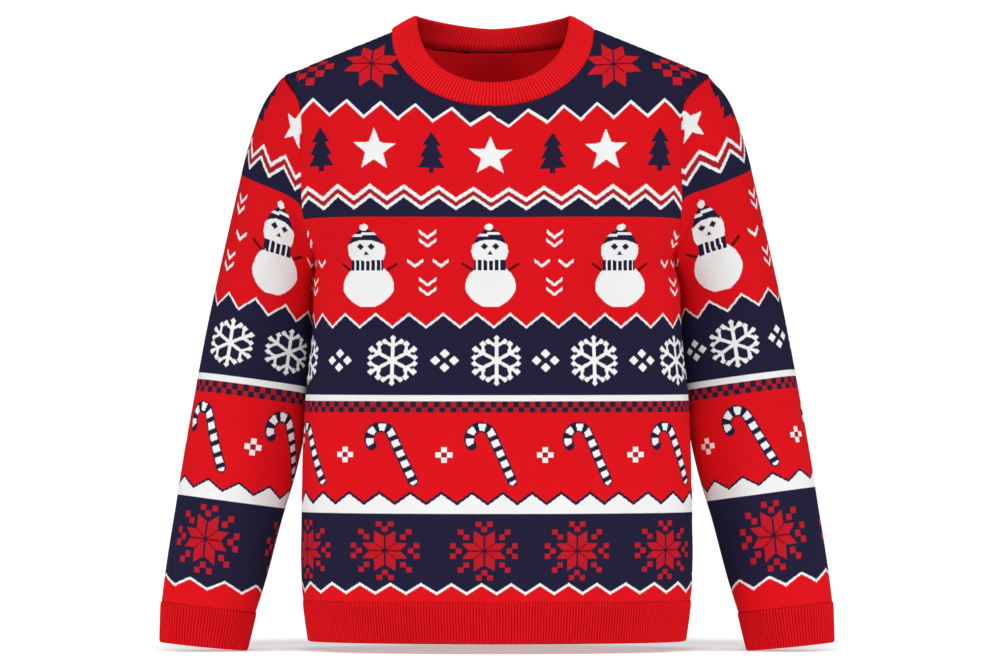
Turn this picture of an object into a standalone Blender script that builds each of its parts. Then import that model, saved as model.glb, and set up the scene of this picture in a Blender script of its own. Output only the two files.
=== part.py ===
"""A crew-neck Christmas jumper in jacquard knit, filled out as if worn, with nobody in it.

Metres, +Z up. The front faces -Y and the wearer's left arm is at +X. The origin is the middle of the neck base:
x = 0 is the centre line, y = 0 the plane of the side and shoulder seams, and z = 0 the height at which the
shoulder seams reach the neckband. Every piece is a wall of cloth with the seams left open by a hair's breadth.
"""

import math

import bmesh
import bpy
import numpy as np

# Cloth and seams
WALL = 0.0025
SEAM_GAP = 0.0003
RIB_RELIEF = 0.0009

# Torso: horizontal sections, each half an ellipse in front of the side seams and half an ellipse behind them.
TORSO_COLUMNS = ("height", "half_width", "front", "back")
TORSO_SECTIONS = (
    (-0.6770, 0.2090, 0.1040, 0.1040),
    (-0.6540, 0.2120, 0.1060, 0.1060),
    (-0.6310, 0.2145, 0.1075, 0.1070),
    (-0.6100, 0.2160, 0.1090, 0.1075),
    (-0.5300, 0.2160, 0.1130, 0.1060),
    (-0.4600, 0.2150, 0.1170, 0.1050),
    (-0.3870, 0.2100, 0.1210, 0.1060),
    (-0.3300, 0.2040, 0.1240, 0.1090),
    (-0.2800, 0.2035, 0.1270, 0.1120),
    (-0.2520, 0.2020, 0.1290, 0.1140),
    (-0.2300, 0.2140, 0.1300, 0.1150),
    (-0.2050, 0.2280, 0.1300, 0.1160),
    (-0.1800, 0.2350, 0.1280, 0.1160),
    (-0.1400, 0.2365, 0.1230, 0.1140),
    (-0.0900, 0.2365, 0.1120, 0.1060),
    (0.0500, 0.2365, 0.1000, 0.1000),
)
HEM_HEIGHT = -0.6770
RIB_TOP_HEIGHT = -0.6310
UNDERARM_HEIGHT = -0.2520

# Shoulder line: straight from the neck to the sleeve. The cloth turns over it on a quarter oval as high as
# SHOULDER_ROUND and as deep as SHOULDER_CROWN, and runs outwards below it by SHOULDER_SPREAD of the drop.
SHOULDER_SLOPE = 0.405
SHOULDER_ROUND = 0.0300
SHOULDER_CROWN = {"front": 0.0320, "back": 0.0340}
SHOULDER_SPREAD = {"front": 0.52, "back": 0.45}
BLEND_POWER = 6.0

# Armhole seam as it runs over the front and the back, seen from the front.
ARMHOLE_COLUMNS = ("height", "half_width")
ARMHOLE = (
    (-0.2520, 0.2020),
    (-0.2320, 0.2065),
    (-0.2100, 0.2098),
    (-0.1900, 0.2115),
    (-0.1500, 0.2120),
    (-0.1200, 0.2115),
    (-0.0930, 0.2128),
    (-0.0780, 0.2160),
    (-0.0640, 0.2235),
    (-0.0502, 0.2360),
)

# Neck: the seam and the folded top edge of the band, both drawn as curves in the front view.
NECK_HALF_WIDTH = 0.1120
NECK_DROP = {"front": 0.0856, "back": 0.0220}
NECK_POWER = {"front": 2.1, "back": 2.0}
BAND_HALF_WIDTH = 0.0838
BAND_SIDE_HEIGHT = 0.0160
BAND_DROP = {"front": 0.0755, "back": 0.0115}
BAND_POWERS = {"front": (2.2, 1 / 2.2), "back": (1.5, 1.0)}
BAND_DEPTH = {"front": 0.0760, "back": 0.0570}
BAND_RIBS = 160

# Sleeve sections from the cuff up: the two ends of each oval seen from the front, then its place and size in depth.
SLEEVE_COLUMNS = ("outer_x", "outer_z", "inner_x", "inner_z", "middle_y", "front", "back")
CUFF_SECTIONS = (
    (0.3740, -0.6782, 0.2775, -0.6876, 0.000, 0.030, 0.030),
    (0.3722, -0.6326, 0.2678, -0.6452, 0.003, 0.034, 0.034),
)
SLEEVE_SECTIONS = (
    (0.3722, -0.6323, 0.2677, -0.6449, 0.003, 0.034, 0.034),
    (0.3683, -0.6000, 0.2580, -0.6140, 0.007, 0.040, 0.040),
    (0.3569, -0.5250, 0.2388, -0.5417, 0.018, 0.047, 0.046),
    (0.3485, -0.4700, 0.2230, -0.4880, 0.028, 0.050, 0.049),
    (0.3380, -0.4096, 0.2110, -0.4280, 0.037, 0.053, 0.051),
    (0.3215, -0.3208, 0.2040, -0.3430, 0.041, 0.056, 0.054),
    (0.3040, -0.2431, 0.2015, -0.2860, 0.033, 0.056, 0.055),
    (0.2886, -0.1780, 0.2018, -0.2660, 0.019, 0.055, 0.055),
    (0.2753, -0.1254, 0.2020, -0.2575, 0.008, 0.053, 0.054),
    (0.2580, -0.0790, 0.2022, -0.2537, 0.002, 0.050, 0.051),
)

# How finely each wall is divided
LOWER_ROWS = 11
UPPER_ROWS = 12
SHOULDER_CROWDING = 1.4
NECK_COLUMNS = 9
SHOULDER_COLUMNS = 6
SLEEVE_RINGS = 17
HEM_RIBS = 160
HEM_RATIO = 10
CUFF_RIBS = 78
CUFF_RATIO = 6
BAND_RATIO = 8

RED = (0.74, 0.008, 0.013)
RED_RIB = (0.58, 0.004, 0.006)
NAVY = (0.014, 0.014, 0.042)

COLUMNS = NECK_COLUMNS + SHOULDER_COLUMNS


def smooth_curve(at, knots, values):
    """Smooth curve through the values at rising knots, with each slope taken from the neighbours."""
    knots = np.asarray(knots, float)
    values = np.asarray(values, float)
    slopes = np.gradient(values, knots, axis=0)
    index = np.clip(np.searchsorted(knots, at, side="right") - 1, 0, len(knots) - 2)
    span = knots[index + 1] - knots[index]
    t = np.clip((at - knots[index]) / span, 0.0, 1.0)
    shape = t.shape + (1,) * (values.ndim - 1)
    t = t.reshape(shape)
    span = span.reshape(shape)
    return (
        (1 + 2 * t) * (1 - t) ** 2 * values[index]
        + t * (1 - t) ** 2 * span * slopes[index]
        + t**2 * (3 - 2 * t) * values[index + 1]
        + t**2 * (t - 1) * span * slopes[index + 1]
    )


def torso_column(name, height):
    table = np.array(TORSO_SECTIONS)
    return smooth_curve(height, table[:, 0], table[:, TORSO_COLUMNS.index(name)])


def shoulder_height(x):
    """Height of the shoulder line over x, rounded off above the neck opening."""
    out = np.abs(x)
    across_neck = (NECK_HALF_WIDTH**2 - out**2) / (2 * NECK_HALF_WIDTH)
    return SHOULDER_SLOPE * np.where(out < NECK_HALF_WIDTH, across_neck, NECK_HALF_WIDTH - out)


def torso_point(turn, height, side):
    """Point on the torso: turn runs from 0 on the centre line to 1 on the side seam."""
    turn = np.asarray(turn, float)
    height = np.asarray(height, float)
    x = torso_column("half_width", height) * np.sin(turn * math.pi / 2)
    body = torso_column(side, height) * np.maximum(np.cos(turn * math.pi / 2), 0)
    drop = np.maximum(shoulder_height(x) - height, 0)
    to_round_off = 1 - np.minimum(drop / SHOULDER_ROUND, 1)
    shoulder = SHOULDER_CROWN[side] * np.sqrt(1 - to_round_off**2) + SHOULDER_SPREAD[side] * drop
    total = (body**BLEND_POWER + shoulder**BLEND_POWER) ** (1 / BLEND_POWER)
    depth = np.where(total > 0, body * shoulder / np.maximum(total, 1e-12), 0.0)
    depth = np.maximum(depth, SEAM_GAP / 2)
    return np.stack([x, -depth if side == "front" else depth, height], axis=-1)


def turn_at(x, height):
    return np.arcsin(np.clip(x / torso_column("half_width", height), 0, 1)) * 2 / math.pi


def neck_height(x, side):
    """Height of the neck seam over x."""
    power = NECK_POWER[side]
    share = np.clip(np.abs(x) / NECK_HALF_WIDTH, 0, 1)
    return -NECK_DROP[side] * (1 - share**power) ** (1 / power)


def band_top(angle, side):
    """Point on the folded top edge of the neckband, from the centre line (0) to the side (half pi)."""
    share = np.sin(angle)
    share_power, drop_power = BAND_POWERS[side]
    height = BAND_SIDE_HEIGHT - BAND_DROP[side] * (1 - share**share_power) ** drop_power
    depth = BAND_DEPTH[side] * np.cos(angle)
    return np.stack([BAND_HALF_WIDTH * share, -depth if side == "front" else depth, height], axis=-1)


def neck_angles():
    return np.linspace(0, math.pi / 2, NECK_COLUMNS + 1)


def half_panel(side):
    """Grid of points from the centre line to the side seam, armhole and shoulder; rows rise from the hem rib."""
    across = np.linspace(0, 1, COLUMNS + 1)
    lower_heights = np.linspace(RIB_TOP_HEIGHT, UNDERARM_HEIGHT, LOWER_ROWS + 1)
    lower = [torso_point(across, np.full(COLUMNS + 1, height), side) for height in lower_heights]

    # The upper block is blended from its four edges: underarm row, centre line, armhole, and neck with shoulder.
    neck_x = NECK_HALF_WIDTH * np.sin(neck_angles())
    shoulder_x = np.linspace(NECK_HALF_WIDTH, ARMHOLE[-1][1], SHOULDER_COLUMNS + 1)[1:]
    top_x = np.concatenate([neck_x, shoulder_x])
    top_z = np.concatenate([neck_height(neck_x, side), shoulder_height(shoulder_x)])
    top = np.stack([top_x, top_z], axis=1)
    armhole_z = armhole_heights()
    armhole = np.stack([armhole_half_width(armhole_z), armhole_z], axis=1)
    top[-1] = armhole[-1]
    bottom = lower[-1][:, [0, 2]]
    centre = bottom[0] + upper_shares()[:, None] * (top[0] - bottom[0])
    upper = []
    out = across[:, None]
    for row, up in enumerate(upper_shares()):
        if row == 0:
            continue
        edges = (1 - up) * bottom + up * top + (1 - out) * centre[row] + out * armhole[row]
        low_corners = (1 - out) * bottom[0] + out * bottom[-1]
        high_corners = (1 - out) * top[0] + out * top[-1]
        places = edges - (1 - up) * low_corners - up * high_corners
        upper.append(torso_point(turn_at(places[:, 0], places[:, 1]), places[:, 1], side))
    return np.array(lower + upper)


def upper_shares():
    """Shares of the way from the underarm to the shoulder, closer together near the shoulder, which bends most."""
    return 1 - (1 - np.linspace(0, 1, UPPER_ROWS + 1)) ** SHOULDER_CROWDING


def armhole_heights():
    """Heights of the armhole points, which divide the seam over the front in the shares of the rows."""
    height = np.linspace(UNDERARM_HEIGHT, ARMHOLE[-1][0], 401)
    line = torso_point(turn_at(armhole_half_width(height), height), height, "front")
    length = np.concatenate([[0.0], np.cumsum(np.linalg.norm(np.diff(line, axis=0), axis=1))])
    return np.interp(upper_shares() * length[-1], length, height)


def armhole_half_width(height):
    table = np.array(ARMHOLE)
    return smooth_curve(height, table[:, 0], table[:, 1])


def armhole_edge(side):
    """Points of the armhole seam from the underarm up to the shoulder, on one side of the body."""
    height = armhole_heights()
    return torso_point(turn_at(armhole_half_width(height), height), height, side)


def towards_armhole_middle(points):
    """Unit directions from armhole points into the sleeve, across the cloth of both pieces at that seam."""
    middle = np.array([0.0, 0.0, (UNDERARM_HEIGHT + ARMHOLE[-1][0]) / 2])
    inward = (middle - points) * np.array([0.0, 1.0, 0.62])
    return inward / np.linalg.norm(inward, axis=-1, keepdims=True)


def neck_seam(side):
    """Points of the neck seam from the centre line to the shoulder, with the matching band top points."""
    angles = neck_angles()
    x = NECK_HALF_WIDTH * np.sin(angles)
    height = neck_height(x, side)
    return torso_point(turn_at(x, height), height, side), band_top(angles, side)


def neck_loop():
    """The whole neck seam and band top, anticlockwise from above, from the front centre and back to it."""
    loops = []
    for front, back in zip(neck_seam("front"), neck_seam("back")):
        shoulder = (front[-1:] + back[-1:]) / 2
        right = np.concatenate([front[:-1], shoulder, back[-2::-1]])
        left = right[-2:0:-1] * np.array([-1, 1, 1])
        loops.append(np.concatenate([right, left]))
    return loops


def band_normals(seam, top):
    """Outward direction of the neckband at each point of its seam."""
    along = np.roll(seam, -1, axis=0) - np.roll(seam, 1, axis=0)
    normals = np.cross(along, top - seam)
    return normals / np.linalg.norm(normals, axis=1, keepdims=True)


def new_object(name, points, faces, colour, roughness):
    """A closed mesh object with faces turned outwards and a material of its own."""
    mesh = bpy.data.meshes.new(name)
    mesh.from_pydata([tuple(point) for point in points], [], faces)
    shape = bmesh.new()
    shape.from_mesh(mesh)
    bmesh.ops.recalc_face_normals(shape, faces=shape.faces)
    bmesh.ops.triangulate(shape, faces=shape.faces)
    shape.to_mesh(mesh)
    shape.free()
    mesh.shade_smooth()
    mesh.set_sharp_from_angle(angle=math.radians(50))
    material = bpy.data.materials.new(name + "_knit")
    material.use_nodes = True
    shader = material.node_tree.nodes["Principled BSDF"]
    shader.inputs["Base Color"].default_value = (*colour, 1)
    shader.inputs["Roughness"].default_value = roughness
    mesh.materials.append(material)
    made = bpy.data.objects.new(name, mesh)
    sweater.objects.link(made)
    return made


def sheet_faces(rows, columns, closed):
    """Quads between neighbouring points of a grid; a closed grid joins its last column to its first."""
    faces = []
    for row in range(rows - 1):
        for column in range(columns if closed else columns - 1):
            following = (column + 1) % columns
            faces.append(
                (
                    row * columns + column,
                    row * columns + following,
                    (row + 1) * columns + following,
                    (row + 1) * columns + column,
                )
            )
    return faces


def sheet_normals(points, faces):
    """Normal of each point of an open sheet, as the mean of the faces around it."""
    normals = np.zeros_like(points)
    for face in faces:
        corners = points[list(face)]
        normal = np.cross(corners[2] - corners[0], corners[3] - corners[1])
        for corner in face:
            normals[corner] += normal
    return normals / np.linalg.norm(normals, axis=1, keepdims=True)


def cloth_wall(name, outer, inner, faces, colour):
    """Closes an outer and an inner sheet of the same layout with a rim along every open edge."""
    count = len(outer)
    turned = [tuple(corner + count for corner in reversed(face)) for face in faces]
    edges = {}
    for face in faces:
        for start, end in zip(face, face[1:] + face[:1]):
            edges[(start, end)] = True
    rim = [(end, start, start + count, end + count) for start, end in edges if (end, start) not in edges]
    return new_object(name, np.concatenate([outer, inner]), faces + turned + rim, colour, 0.85)


def panel(name, side):
    """Front or back panel, with its neck, shoulder, armhole, side and hem edges cut square through the cloth."""
    half = half_panel(side)
    mirror = half[:, :0:-1] * np.array([-1, 1, 1])
    grid = np.concatenate([mirror, half], axis=1)
    rows, columns = grid.shape[:2]
    outer = grid.reshape(-1, 3)
    faces = sheet_faces(rows, columns, closed=False)
    normals = sheet_normals(outer, faces).reshape(rows, columns, 3)
    if np.sum(normals[0, COLUMNS] * grid[0, COLUMNS]) < 0:
        normals = -normals
    flat = np.array([1.0, 0.0, 1.0])
    normals[0] *= np.array([1.0, 1.0, 0.0])
    for column in (0, columns - 1):
        normals[: LOWER_ROWS + 1, column] *= flat
        armhole = grid[LOWER_ROWS : rows - 1, column]
        normals[LOWER_ROWS : rows - 1, column] = -towards_armhole_middle(armhole)
    seam, top = neck_loop()
    along = band_normals(seam, top)
    quarter = along[: NECK_COLUMNS + 1] if side == "front" else along[2 * NECK_COLUMNS : NECK_COLUMNS - 1 : -1]
    for column in range(columns):
        offset = abs(column - COLUMNS)
        if offset < NECK_COLUMNS:
            sign = 1.0 if column >= COLUMNS else -1.0
            normals[-1, column] = quarter[offset] * np.array([sign, 1.0, 1.0])
        else:
            normals[-1, column] *= flat
    normals /= np.linalg.norm(normals, axis=2, keepdims=True)
    inner = outer - WALL * normals.reshape(-1, 3)
    return cloth_wall(name, outer, inner, faces, RED if side == "front" else NAVY)


def oval(section, angles):
    """Oval of a sleeve section: angle 0 is its end by the body, pi its outer end, and the front lies between."""
    outer_x, outer_z, inner_x, inner_z, middle_y, front, back = section
    middle = np.array([(outer_x + inner_x) / 2, middle_y, (outer_z + inner_z) / 2])
    reach = np.array([(inner_x - outer_x) / 2, 0.0, (inner_z - outer_z) / 2])
    depth = np.where(np.sin(angles) > 0, front, back)
    forward = np.stack([np.zeros_like(angles), -depth * np.sin(angles), np.zeros_like(angles)], axis=1)
    return middle + np.cos(angles)[:, None] * reach + forward


def armhole_ring():
    """The armhole seam as a closed ring: up the front, over the shoulder and down the back."""
    front = armhole_edge("front")
    back = armhole_edge("back")
    ring = np.concatenate([front, back[-2:0:-1]])
    ring[[0, UPPER_ROWS], 1] = 0.0
    return ring


def sleeve(name, hand):
    """Sleeve tube from the cuff seam to the armhole, on the wearer's left (hand 1) or right (hand -1)."""
    angles = math.pi * np.concatenate([upper_shares(), 2 - upper_shares()[-2:0:-1]])
    ring = armhole_ring()
    rings = np.array([oval(section, angles) for section in SLEEVE_SECTIONS] + [ring])
    steps = np.linalg.norm(np.diff(rings.mean(axis=1), axis=0), axis=1)
    knots = np.concatenate([[0.0], np.cumsum(steps)])
    grid = smooth_curve(np.linspace(0, knots[-1], SLEEVE_RINGS + 1), knots, rings)
    grid[-1] += np.array([SEAM_GAP, 0.0, 0.0])
    rows, columns = grid.shape[:2]
    outer = grid.reshape(-1, 3)
    faces = sheet_faces(rows, columns, closed=True)
    normals = sheet_normals(outer, faces).reshape(rows, columns, 3)
    middle = grid.mean(axis=1, keepdims=True)
    if np.sum(normals[0] * (grid[0] - middle[0])) < 0:
        normals = -normals
    across = grid[0, 0] - grid[0, UPPER_ROWS]
    axis = np.cross(across, np.array([0.0, 1.0, 0.0]))
    axis /= np.linalg.norm(axis)
    normals[0] -= np.sum(normals[0] * axis, axis=1, keepdims=True) * axis
    normals[-1] = -towards_armhole_middle(ring)
    normals /= np.linalg.norm(normals, axis=2, keepdims=True)
    inner = outer - WALL * normals.reshape(-1, 3)
    flip = np.array([hand, 1, 1])
    return cloth_wall(name, outer * flip, inner * flip, faces, RED)


def ribbed_wall(name, outer_rings, inner_rings, ratio, closed):
    """A wall with a finely ribbed outer face and a plain inner face, which has one segment for ratio outer ones."""
    outer_count = len(outer_rings[0])
    inner_count = len(inner_rings[0])
    points = np.concatenate(list(outer_rings) + list(inner_rings))
    first_inner = outer_count * len(outer_rings)
    faces = sheet_faces(len(outer_rings), outer_count, closed)
    for face in sheet_faces(len(inner_rings), inner_count, closed):
        faces.append(tuple(first_inner + corner for corner in reversed(face)))
    segments = inner_count if closed else inner_count - 1
    last_outer = outer_count * (len(outer_rings) - 1)
    last_inner = first_inner + inner_count * (len(inner_rings) - 1)
    for outer_start, inner_start in ((0, first_inner), (last_outer, last_inner)):
        for segment in range(segments):
            near = inner_start + segment
            far = inner_start + (segment + 1) % inner_count
            for step in range(ratio):
                start = outer_start + segment * ratio + step
                end = outer_start + (segment * ratio + step + 1) % outer_count
                faces.append((start, end, near if step < ratio // 2 else far))
            half_way = outer_start + segment * ratio + ratio // 2
            faces.append((near, half_way, far))
    if not closed:
        for outer_end, inner_end in ((0, 0), (outer_count - 1, inner_count - 1)):
            down = [outer_end + outer_count * ring for ring in range(len(outer_rings))]
            up = [first_inner + inner_end + inner_count * ring for ring in range(len(inner_rings))]
            faces.append(tuple(down + up[::-1]))
    return new_object(name, points, faces, RED_RIB, 0.9)


def evenly_spaced(points, count, closed):
    """Points at even distances along a line through points."""
    line = np.concatenate([points, points[:1]]) if closed else points
    steps = np.linalg.norm(np.diff(line, axis=0), axis=1)
    length = np.concatenate([[0.0], np.cumsum(steps)])
    at = np.linspace(0, length[-1], count + 1)
    at = at[:-1] if closed else at
    return np.stack([np.interp(at, length, line[:, axis]) for axis in range(3)], axis=1)


def flat_normals(ring, closed):
    """Outward normals of a ring in its own plane, which lies close to level."""
    if closed:
        along = np.roll(ring, -1, axis=0) - np.roll(ring, 1, axis=0)
    else:
        along = np.gradient(ring, axis=0)
    normals = np.cross(along, np.array([0.0, 0.0, 1.0]))
    normals /= np.linalg.norm(normals, axis=1, keepdims=True)
    outward = np.sum(normals * (ring - ring.mean(axis=0))) > 0
    return normals if outward else -normals


def ribbed_ring(ring, ribs, closed, relief):
    """Outer points of a ring of ribs, two to a rib: its groove and its crest."""
    spaced = evenly_spaced(ring, 2 * ribs, closed)
    crest = (np.arange(len(spaced)) % 2)[:, None] * relief
    return spaced + flat_normals(spaced, closed) * crest


def hem_rib(name, side):
    """Ribbed band knitted on below one panel, from side seam to side seam."""
    turns = np.linspace(-1, 1, 401)
    outer_rings = []
    inner_rings = []
    for height in (RIB_TOP_HEIGHT - SEAM_GAP, HEM_HEIGHT):
        ring = torso_point(np.abs(turns), np.full(len(turns), height), side)
        ring[:, 0] *= np.sign(turns)
        outer_rings.append(ribbed_ring(ring, HEM_RIBS, False, RIB_RELIEF))
        plain = evenly_spaced(ring, 2 * HEM_RIBS // HEM_RATIO, False)
        normals = flat_normals(plain, False)
        normals[[0, -1]] = np.array([[-1.0, 0.0, 0.0], [1.0, 0.0, 0.0]])
        inner_rings.append(plain - WALL * normals)
    return ribbed_wall(name, outer_rings, inner_rings, HEM_RATIO, closed=False)


def cuff(name, hand):
    """Ribbed cuff, a closed tube below the sleeve."""
    angles = np.linspace(0, 2 * math.pi, 361)[:-1]
    flip = np.array([hand, 1, 1])
    outer_rings = []
    inner_rings = []
    for section in CUFF_SECTIONS:
        ring = oval(section, angles)
        outer_rings.append(ribbed_ring(ring, CUFF_RIBS, True, RIB_RELIEF) * flip)
        plain = evenly_spaced(ring, 2 * CUFF_RIBS // CUFF_RATIO, True)
        inner_rings.append((plain - WALL * flat_normals(plain, True)) * flip)
    return ribbed_wall(name, outer_rings, inner_rings, CUFF_RATIO, closed=True)


def neckband(name):
    """Ribbed band folded double and sewn round the neck; its ribs run from the seam to the folded edge."""
    seam, top = neck_loop()
    normals = band_normals(seam, top)
    middle = (seam + top) / 2
    closed_middle = np.concatenate([middle, middle[:1]])
    steps = np.linalg.norm(np.diff(closed_middle, axis=0), axis=1)
    length = np.concatenate([[0.0], np.cumsum(steps)])

    def spaced(values, count):
        at = np.linspace(0, length[-1], count + 1)[:-1]
        line = np.concatenate([values, values[:1]])
        return np.stack([np.interp(at, length, line[:, axis]) for axis in range(3)], axis=1)

    rise = top - seam
    start = SEAM_GAP / np.linalg.norm(rise, axis=1, keepdims=True)
    seam = seam + rise * start
    rise = top - seam
    band_columns = ("rise", "proud")
    outer_stations = ((0.0, 0.0004), (0.3, 0.0016), (0.75, 0.0016), (1.0, 0.0009))
    inner_stations = ((0.0, -0.0027), (0.5, -0.0028), (1.0, -0.0012))
    count = 2 * BAND_RIBS
    crest = (np.arange(count) % 2)[:, None] * RIB_RELIEF
    outer_rings = []
    for station in outer_stations:
        share, proud = (station[band_columns.index(column)] for column in band_columns)
        ring = spaced(seam + share * rise, count)
        outer_rings.append(ring + spaced(normals, count) * (proud + crest))
    inner_rings = []
    for station in inner_stations:
        share, proud = (station[band_columns.index(column)] for column in band_columns)
        ring = spaced(seam + share * rise, count // BAND_RATIO)
        inner_rings.append(ring + spaced(normals, count // BAND_RATIO) * proud)
    return ribbed_wall(name, outer_rings, inner_rings, BAND_RATIO, closed=True)


for old in list(bpy.data.objects):
    bpy.data.objects.remove(old)
sweater = bpy.data.collections.new("christmas_sweater")
bpy.context.scene.collection.children.link(sweater)

panel("front_panel", "front")
panel("back_panel", "back")
hem_rib("front_hem_rib", "front")
hem_rib("back_hem_rib", "back")
neckband("neckband")
for word, hand in (("left", 1), ("right", -1)):
    sleeve(word + "_sleeve", hand)
    cuff(word + "_cuff", hand)
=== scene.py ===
import math

import bpy
import numpy as np
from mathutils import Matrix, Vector


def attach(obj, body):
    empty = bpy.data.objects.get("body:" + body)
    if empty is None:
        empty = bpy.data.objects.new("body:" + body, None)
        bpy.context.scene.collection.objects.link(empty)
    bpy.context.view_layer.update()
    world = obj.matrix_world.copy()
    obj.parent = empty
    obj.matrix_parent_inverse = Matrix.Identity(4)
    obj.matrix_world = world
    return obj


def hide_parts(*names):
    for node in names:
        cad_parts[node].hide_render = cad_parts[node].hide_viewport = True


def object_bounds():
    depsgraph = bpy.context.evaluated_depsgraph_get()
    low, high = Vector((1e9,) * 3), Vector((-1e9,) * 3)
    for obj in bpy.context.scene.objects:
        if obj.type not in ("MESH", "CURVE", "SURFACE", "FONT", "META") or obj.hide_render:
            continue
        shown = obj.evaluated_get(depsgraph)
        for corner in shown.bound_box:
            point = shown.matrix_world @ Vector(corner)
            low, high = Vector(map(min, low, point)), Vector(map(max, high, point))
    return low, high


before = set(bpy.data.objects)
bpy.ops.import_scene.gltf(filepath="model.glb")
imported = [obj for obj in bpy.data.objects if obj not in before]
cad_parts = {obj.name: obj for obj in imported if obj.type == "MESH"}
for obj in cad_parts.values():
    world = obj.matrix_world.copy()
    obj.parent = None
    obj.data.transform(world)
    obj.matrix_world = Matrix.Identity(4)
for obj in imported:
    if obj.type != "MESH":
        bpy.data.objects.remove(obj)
cad_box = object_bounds()


# ----------------------------------------------------------------------------------------------------------
# Front and back panels: two pieces of red, navy and white jacquard in stockinette stitch, of fine cotton and
# acrylic yarn, knitted upwards from the hem rib and linked along the shoulders and the sides. Lengths are in
# metres. Columns and rows are whole stitches, counted from the centre line and from the hem rib.

STITCHES_TO_SIDE = 124
ROW_HEIGHT = 0.0019
STITCH_WIDTH = 0.00211
RIB_TOP = -0.6310
UNDERARM = -0.2520
FLAT_ROWS = 218  # below this row the rows lie level, and above it they follow the cloth over the shoulder
TOP_ROW = 366
MOST_COLUMNS = 128
CLOTH = 0.0022

TORSO = (  # height, half_width, front, back
    (-0.6770, 0.2090, 0.1040, 0.1040),
    (-0.6540, 0.2120, 0.1060, 0.1060),
    (-0.6310, 0.2145, 0.1075, 0.1070),
    (-0.6100, 0.2160, 0.1090, 0.1075),
    (-0.5300, 0.2160, 0.1130, 0.1060),
    (-0.4600, 0.2150, 0.1170, 0.1050),
    (-0.3870, 0.2100, 0.1210, 0.1060),
    (-0.3300, 0.2040, 0.1240, 0.1090),
    (-0.2800, 0.2035, 0.1270, 0.1120),
    (-0.2520, 0.2020, 0.1290, 0.1140),
    (-0.2300, 0.2140, 0.1300, 0.1150),
    (-0.2050, 0.2280, 0.1300, 0.1160),
    (-0.1800, 0.2350, 0.1280, 0.1160),
    (-0.1400, 0.2365, 0.1230, 0.1140),
    (-0.0900, 0.2365, 0.1120, 0.1060),
    (0.0500, 0.2365, 0.1000, 0.1000),
)
TORSO_COLUMNS = {"half_width": 1, "front": 2, "back": 3}
SHOULDER_SLOPE = 0.405
SHOULDER_ROUND = 0.0300
SHOULDER_CROWN = {"front": 0.0320, "back": 0.0340}
SHOULDER_SPREAD = {"front": 0.52, "back": 0.45}
BLEND_POWER = 6.0
ARMHOLE = (  # height, half_width
    (-0.2520, 0.2020),
    (-0.2320, 0.2065),
    (-0.2100, 0.2098),
    (-0.1900, 0.2115),
    (-0.1500, 0.2120),
    (-0.1200, 0.2115),
    (-0.0930, 0.2128),
    (-0.0780, 0.2160),
    (-0.0640, 0.2235),
    (-0.0502, 0.2360),
)
NECK_HALF_WIDTH = 0.1120
NECK_DROP = {"front": 0.0856, "back": 0.0220}
NECK_POWER = {"front": 2.1, "back": 2.0}
SHOULDER_POINT = 0.2364
FORWARD = {"front": -1.0, "back": 1.0}


def smooth_curve(at, knots, values):
    """Smooth curve through the values at rising knots, with each slope taken from the neighbours."""
    at = np.asarray(at, float)
    knots = np.asarray(knots, float)
    values = np.asarray(values, float)
    slopes = np.gradient(values, knots, axis=0)
    index = np.clip(np.searchsorted(knots, at, side="right") - 1, 0, len(knots) - 2)
    span = knots[index + 1] - knots[index]
    t = np.clip((at - knots[index]) / span, 0.0, 1.0)
    shape = t.shape + (1,) * (values.ndim - 1)
    t = t.reshape(shape)
    span = span.reshape(shape)
    return (
        (1 + 2 * t) * (1 - t) ** 2 * values[index]
        + t * (1 - t) ** 2 * span * slopes[index]
        + t**2 * (3 - 2 * t) * values[index + 1]
        + t**2 * (t - 1) * span * slopes[index + 1]
    )


def torso(column, z):
    table = np.array(TORSO)
    return smooth_curve(z, table[:, 0], table[:, TORSO_COLUMNS[column]])


def armhole_half_width(z):
    table = np.array(ARMHOLE)
    return smooth_curve(z, table[:, 0], table[:, 1])


def shoulder_height(x):
    """Height of the shoulder line over x, rounded off above the neck opening."""
    out = np.abs(x)
    across_neck = (NECK_HALF_WIDTH**2 - out**2) / (2 * NECK_HALF_WIDTH)
    return SHOULDER_SLOPE * np.where(out < NECK_HALF_WIDTH, across_neck, NECK_HALF_WIDTH - out)


def torso_depth(x, z, side):
    """How far the cloth stands out of the plane of the side seams."""
    share = np.clip(x / torso("half_width", z), -1, 1)
    body = torso(side, z) * np.sqrt(1 - share**2)
    drop = np.maximum(shoulder_height(x) - z, 0)
    to_round_off = 1 - np.minimum(drop / SHOULDER_ROUND, 1)
    shoulder = SHOULDER_CROWN[side] * np.sqrt(1 - to_round_off**2) + SHOULDER_SPREAD[side] * drop
    total = (body**BLEND_POWER + shoulder**BLEND_POWER) ** (1 / BLEND_POWER)
    return np.where(total > 0, body * shoulder / np.maximum(total, 1e-12), 0.0)


def neck_height(x, side):
    power = NECK_POWER[side]
    share = np.clip(np.abs(x) / NECK_HALF_WIDTH, 0, 1)
    return -NECK_DROP[side] * (1 - share**power) ** (1 / power)


def on_torso(x, z, side):
    """Points of the front or back cloth at given places across and up."""
    return np.stack([x, FORWARD[side] * torso_depth(x, z, side), z], axis=1)


def lengths_along(line):
    steps = np.linalg.norm(np.diff(line, axis=0), axis=1)
    return np.concatenate([[0.0], np.cumsum(steps)])


def points_at(place, along, line):
    """Points of a line at given lengths along it."""
    return np.stack([np.interp(place, along, line[:, axis]) for axis in range(3)], axis=-1)


ROW_SPACING = {"front": (0.00175, 0.00197), "back": (0.00186, 0.00197)}  # over the middle, and by the armhole
SPACING_LEVEL = 10  # millimetres from the centre line over which the spacing hardly changes
SPACING_REACH = 105  # millimetres from the centre line over which it changes most
SPACING_GAIN = 1.03


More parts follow.
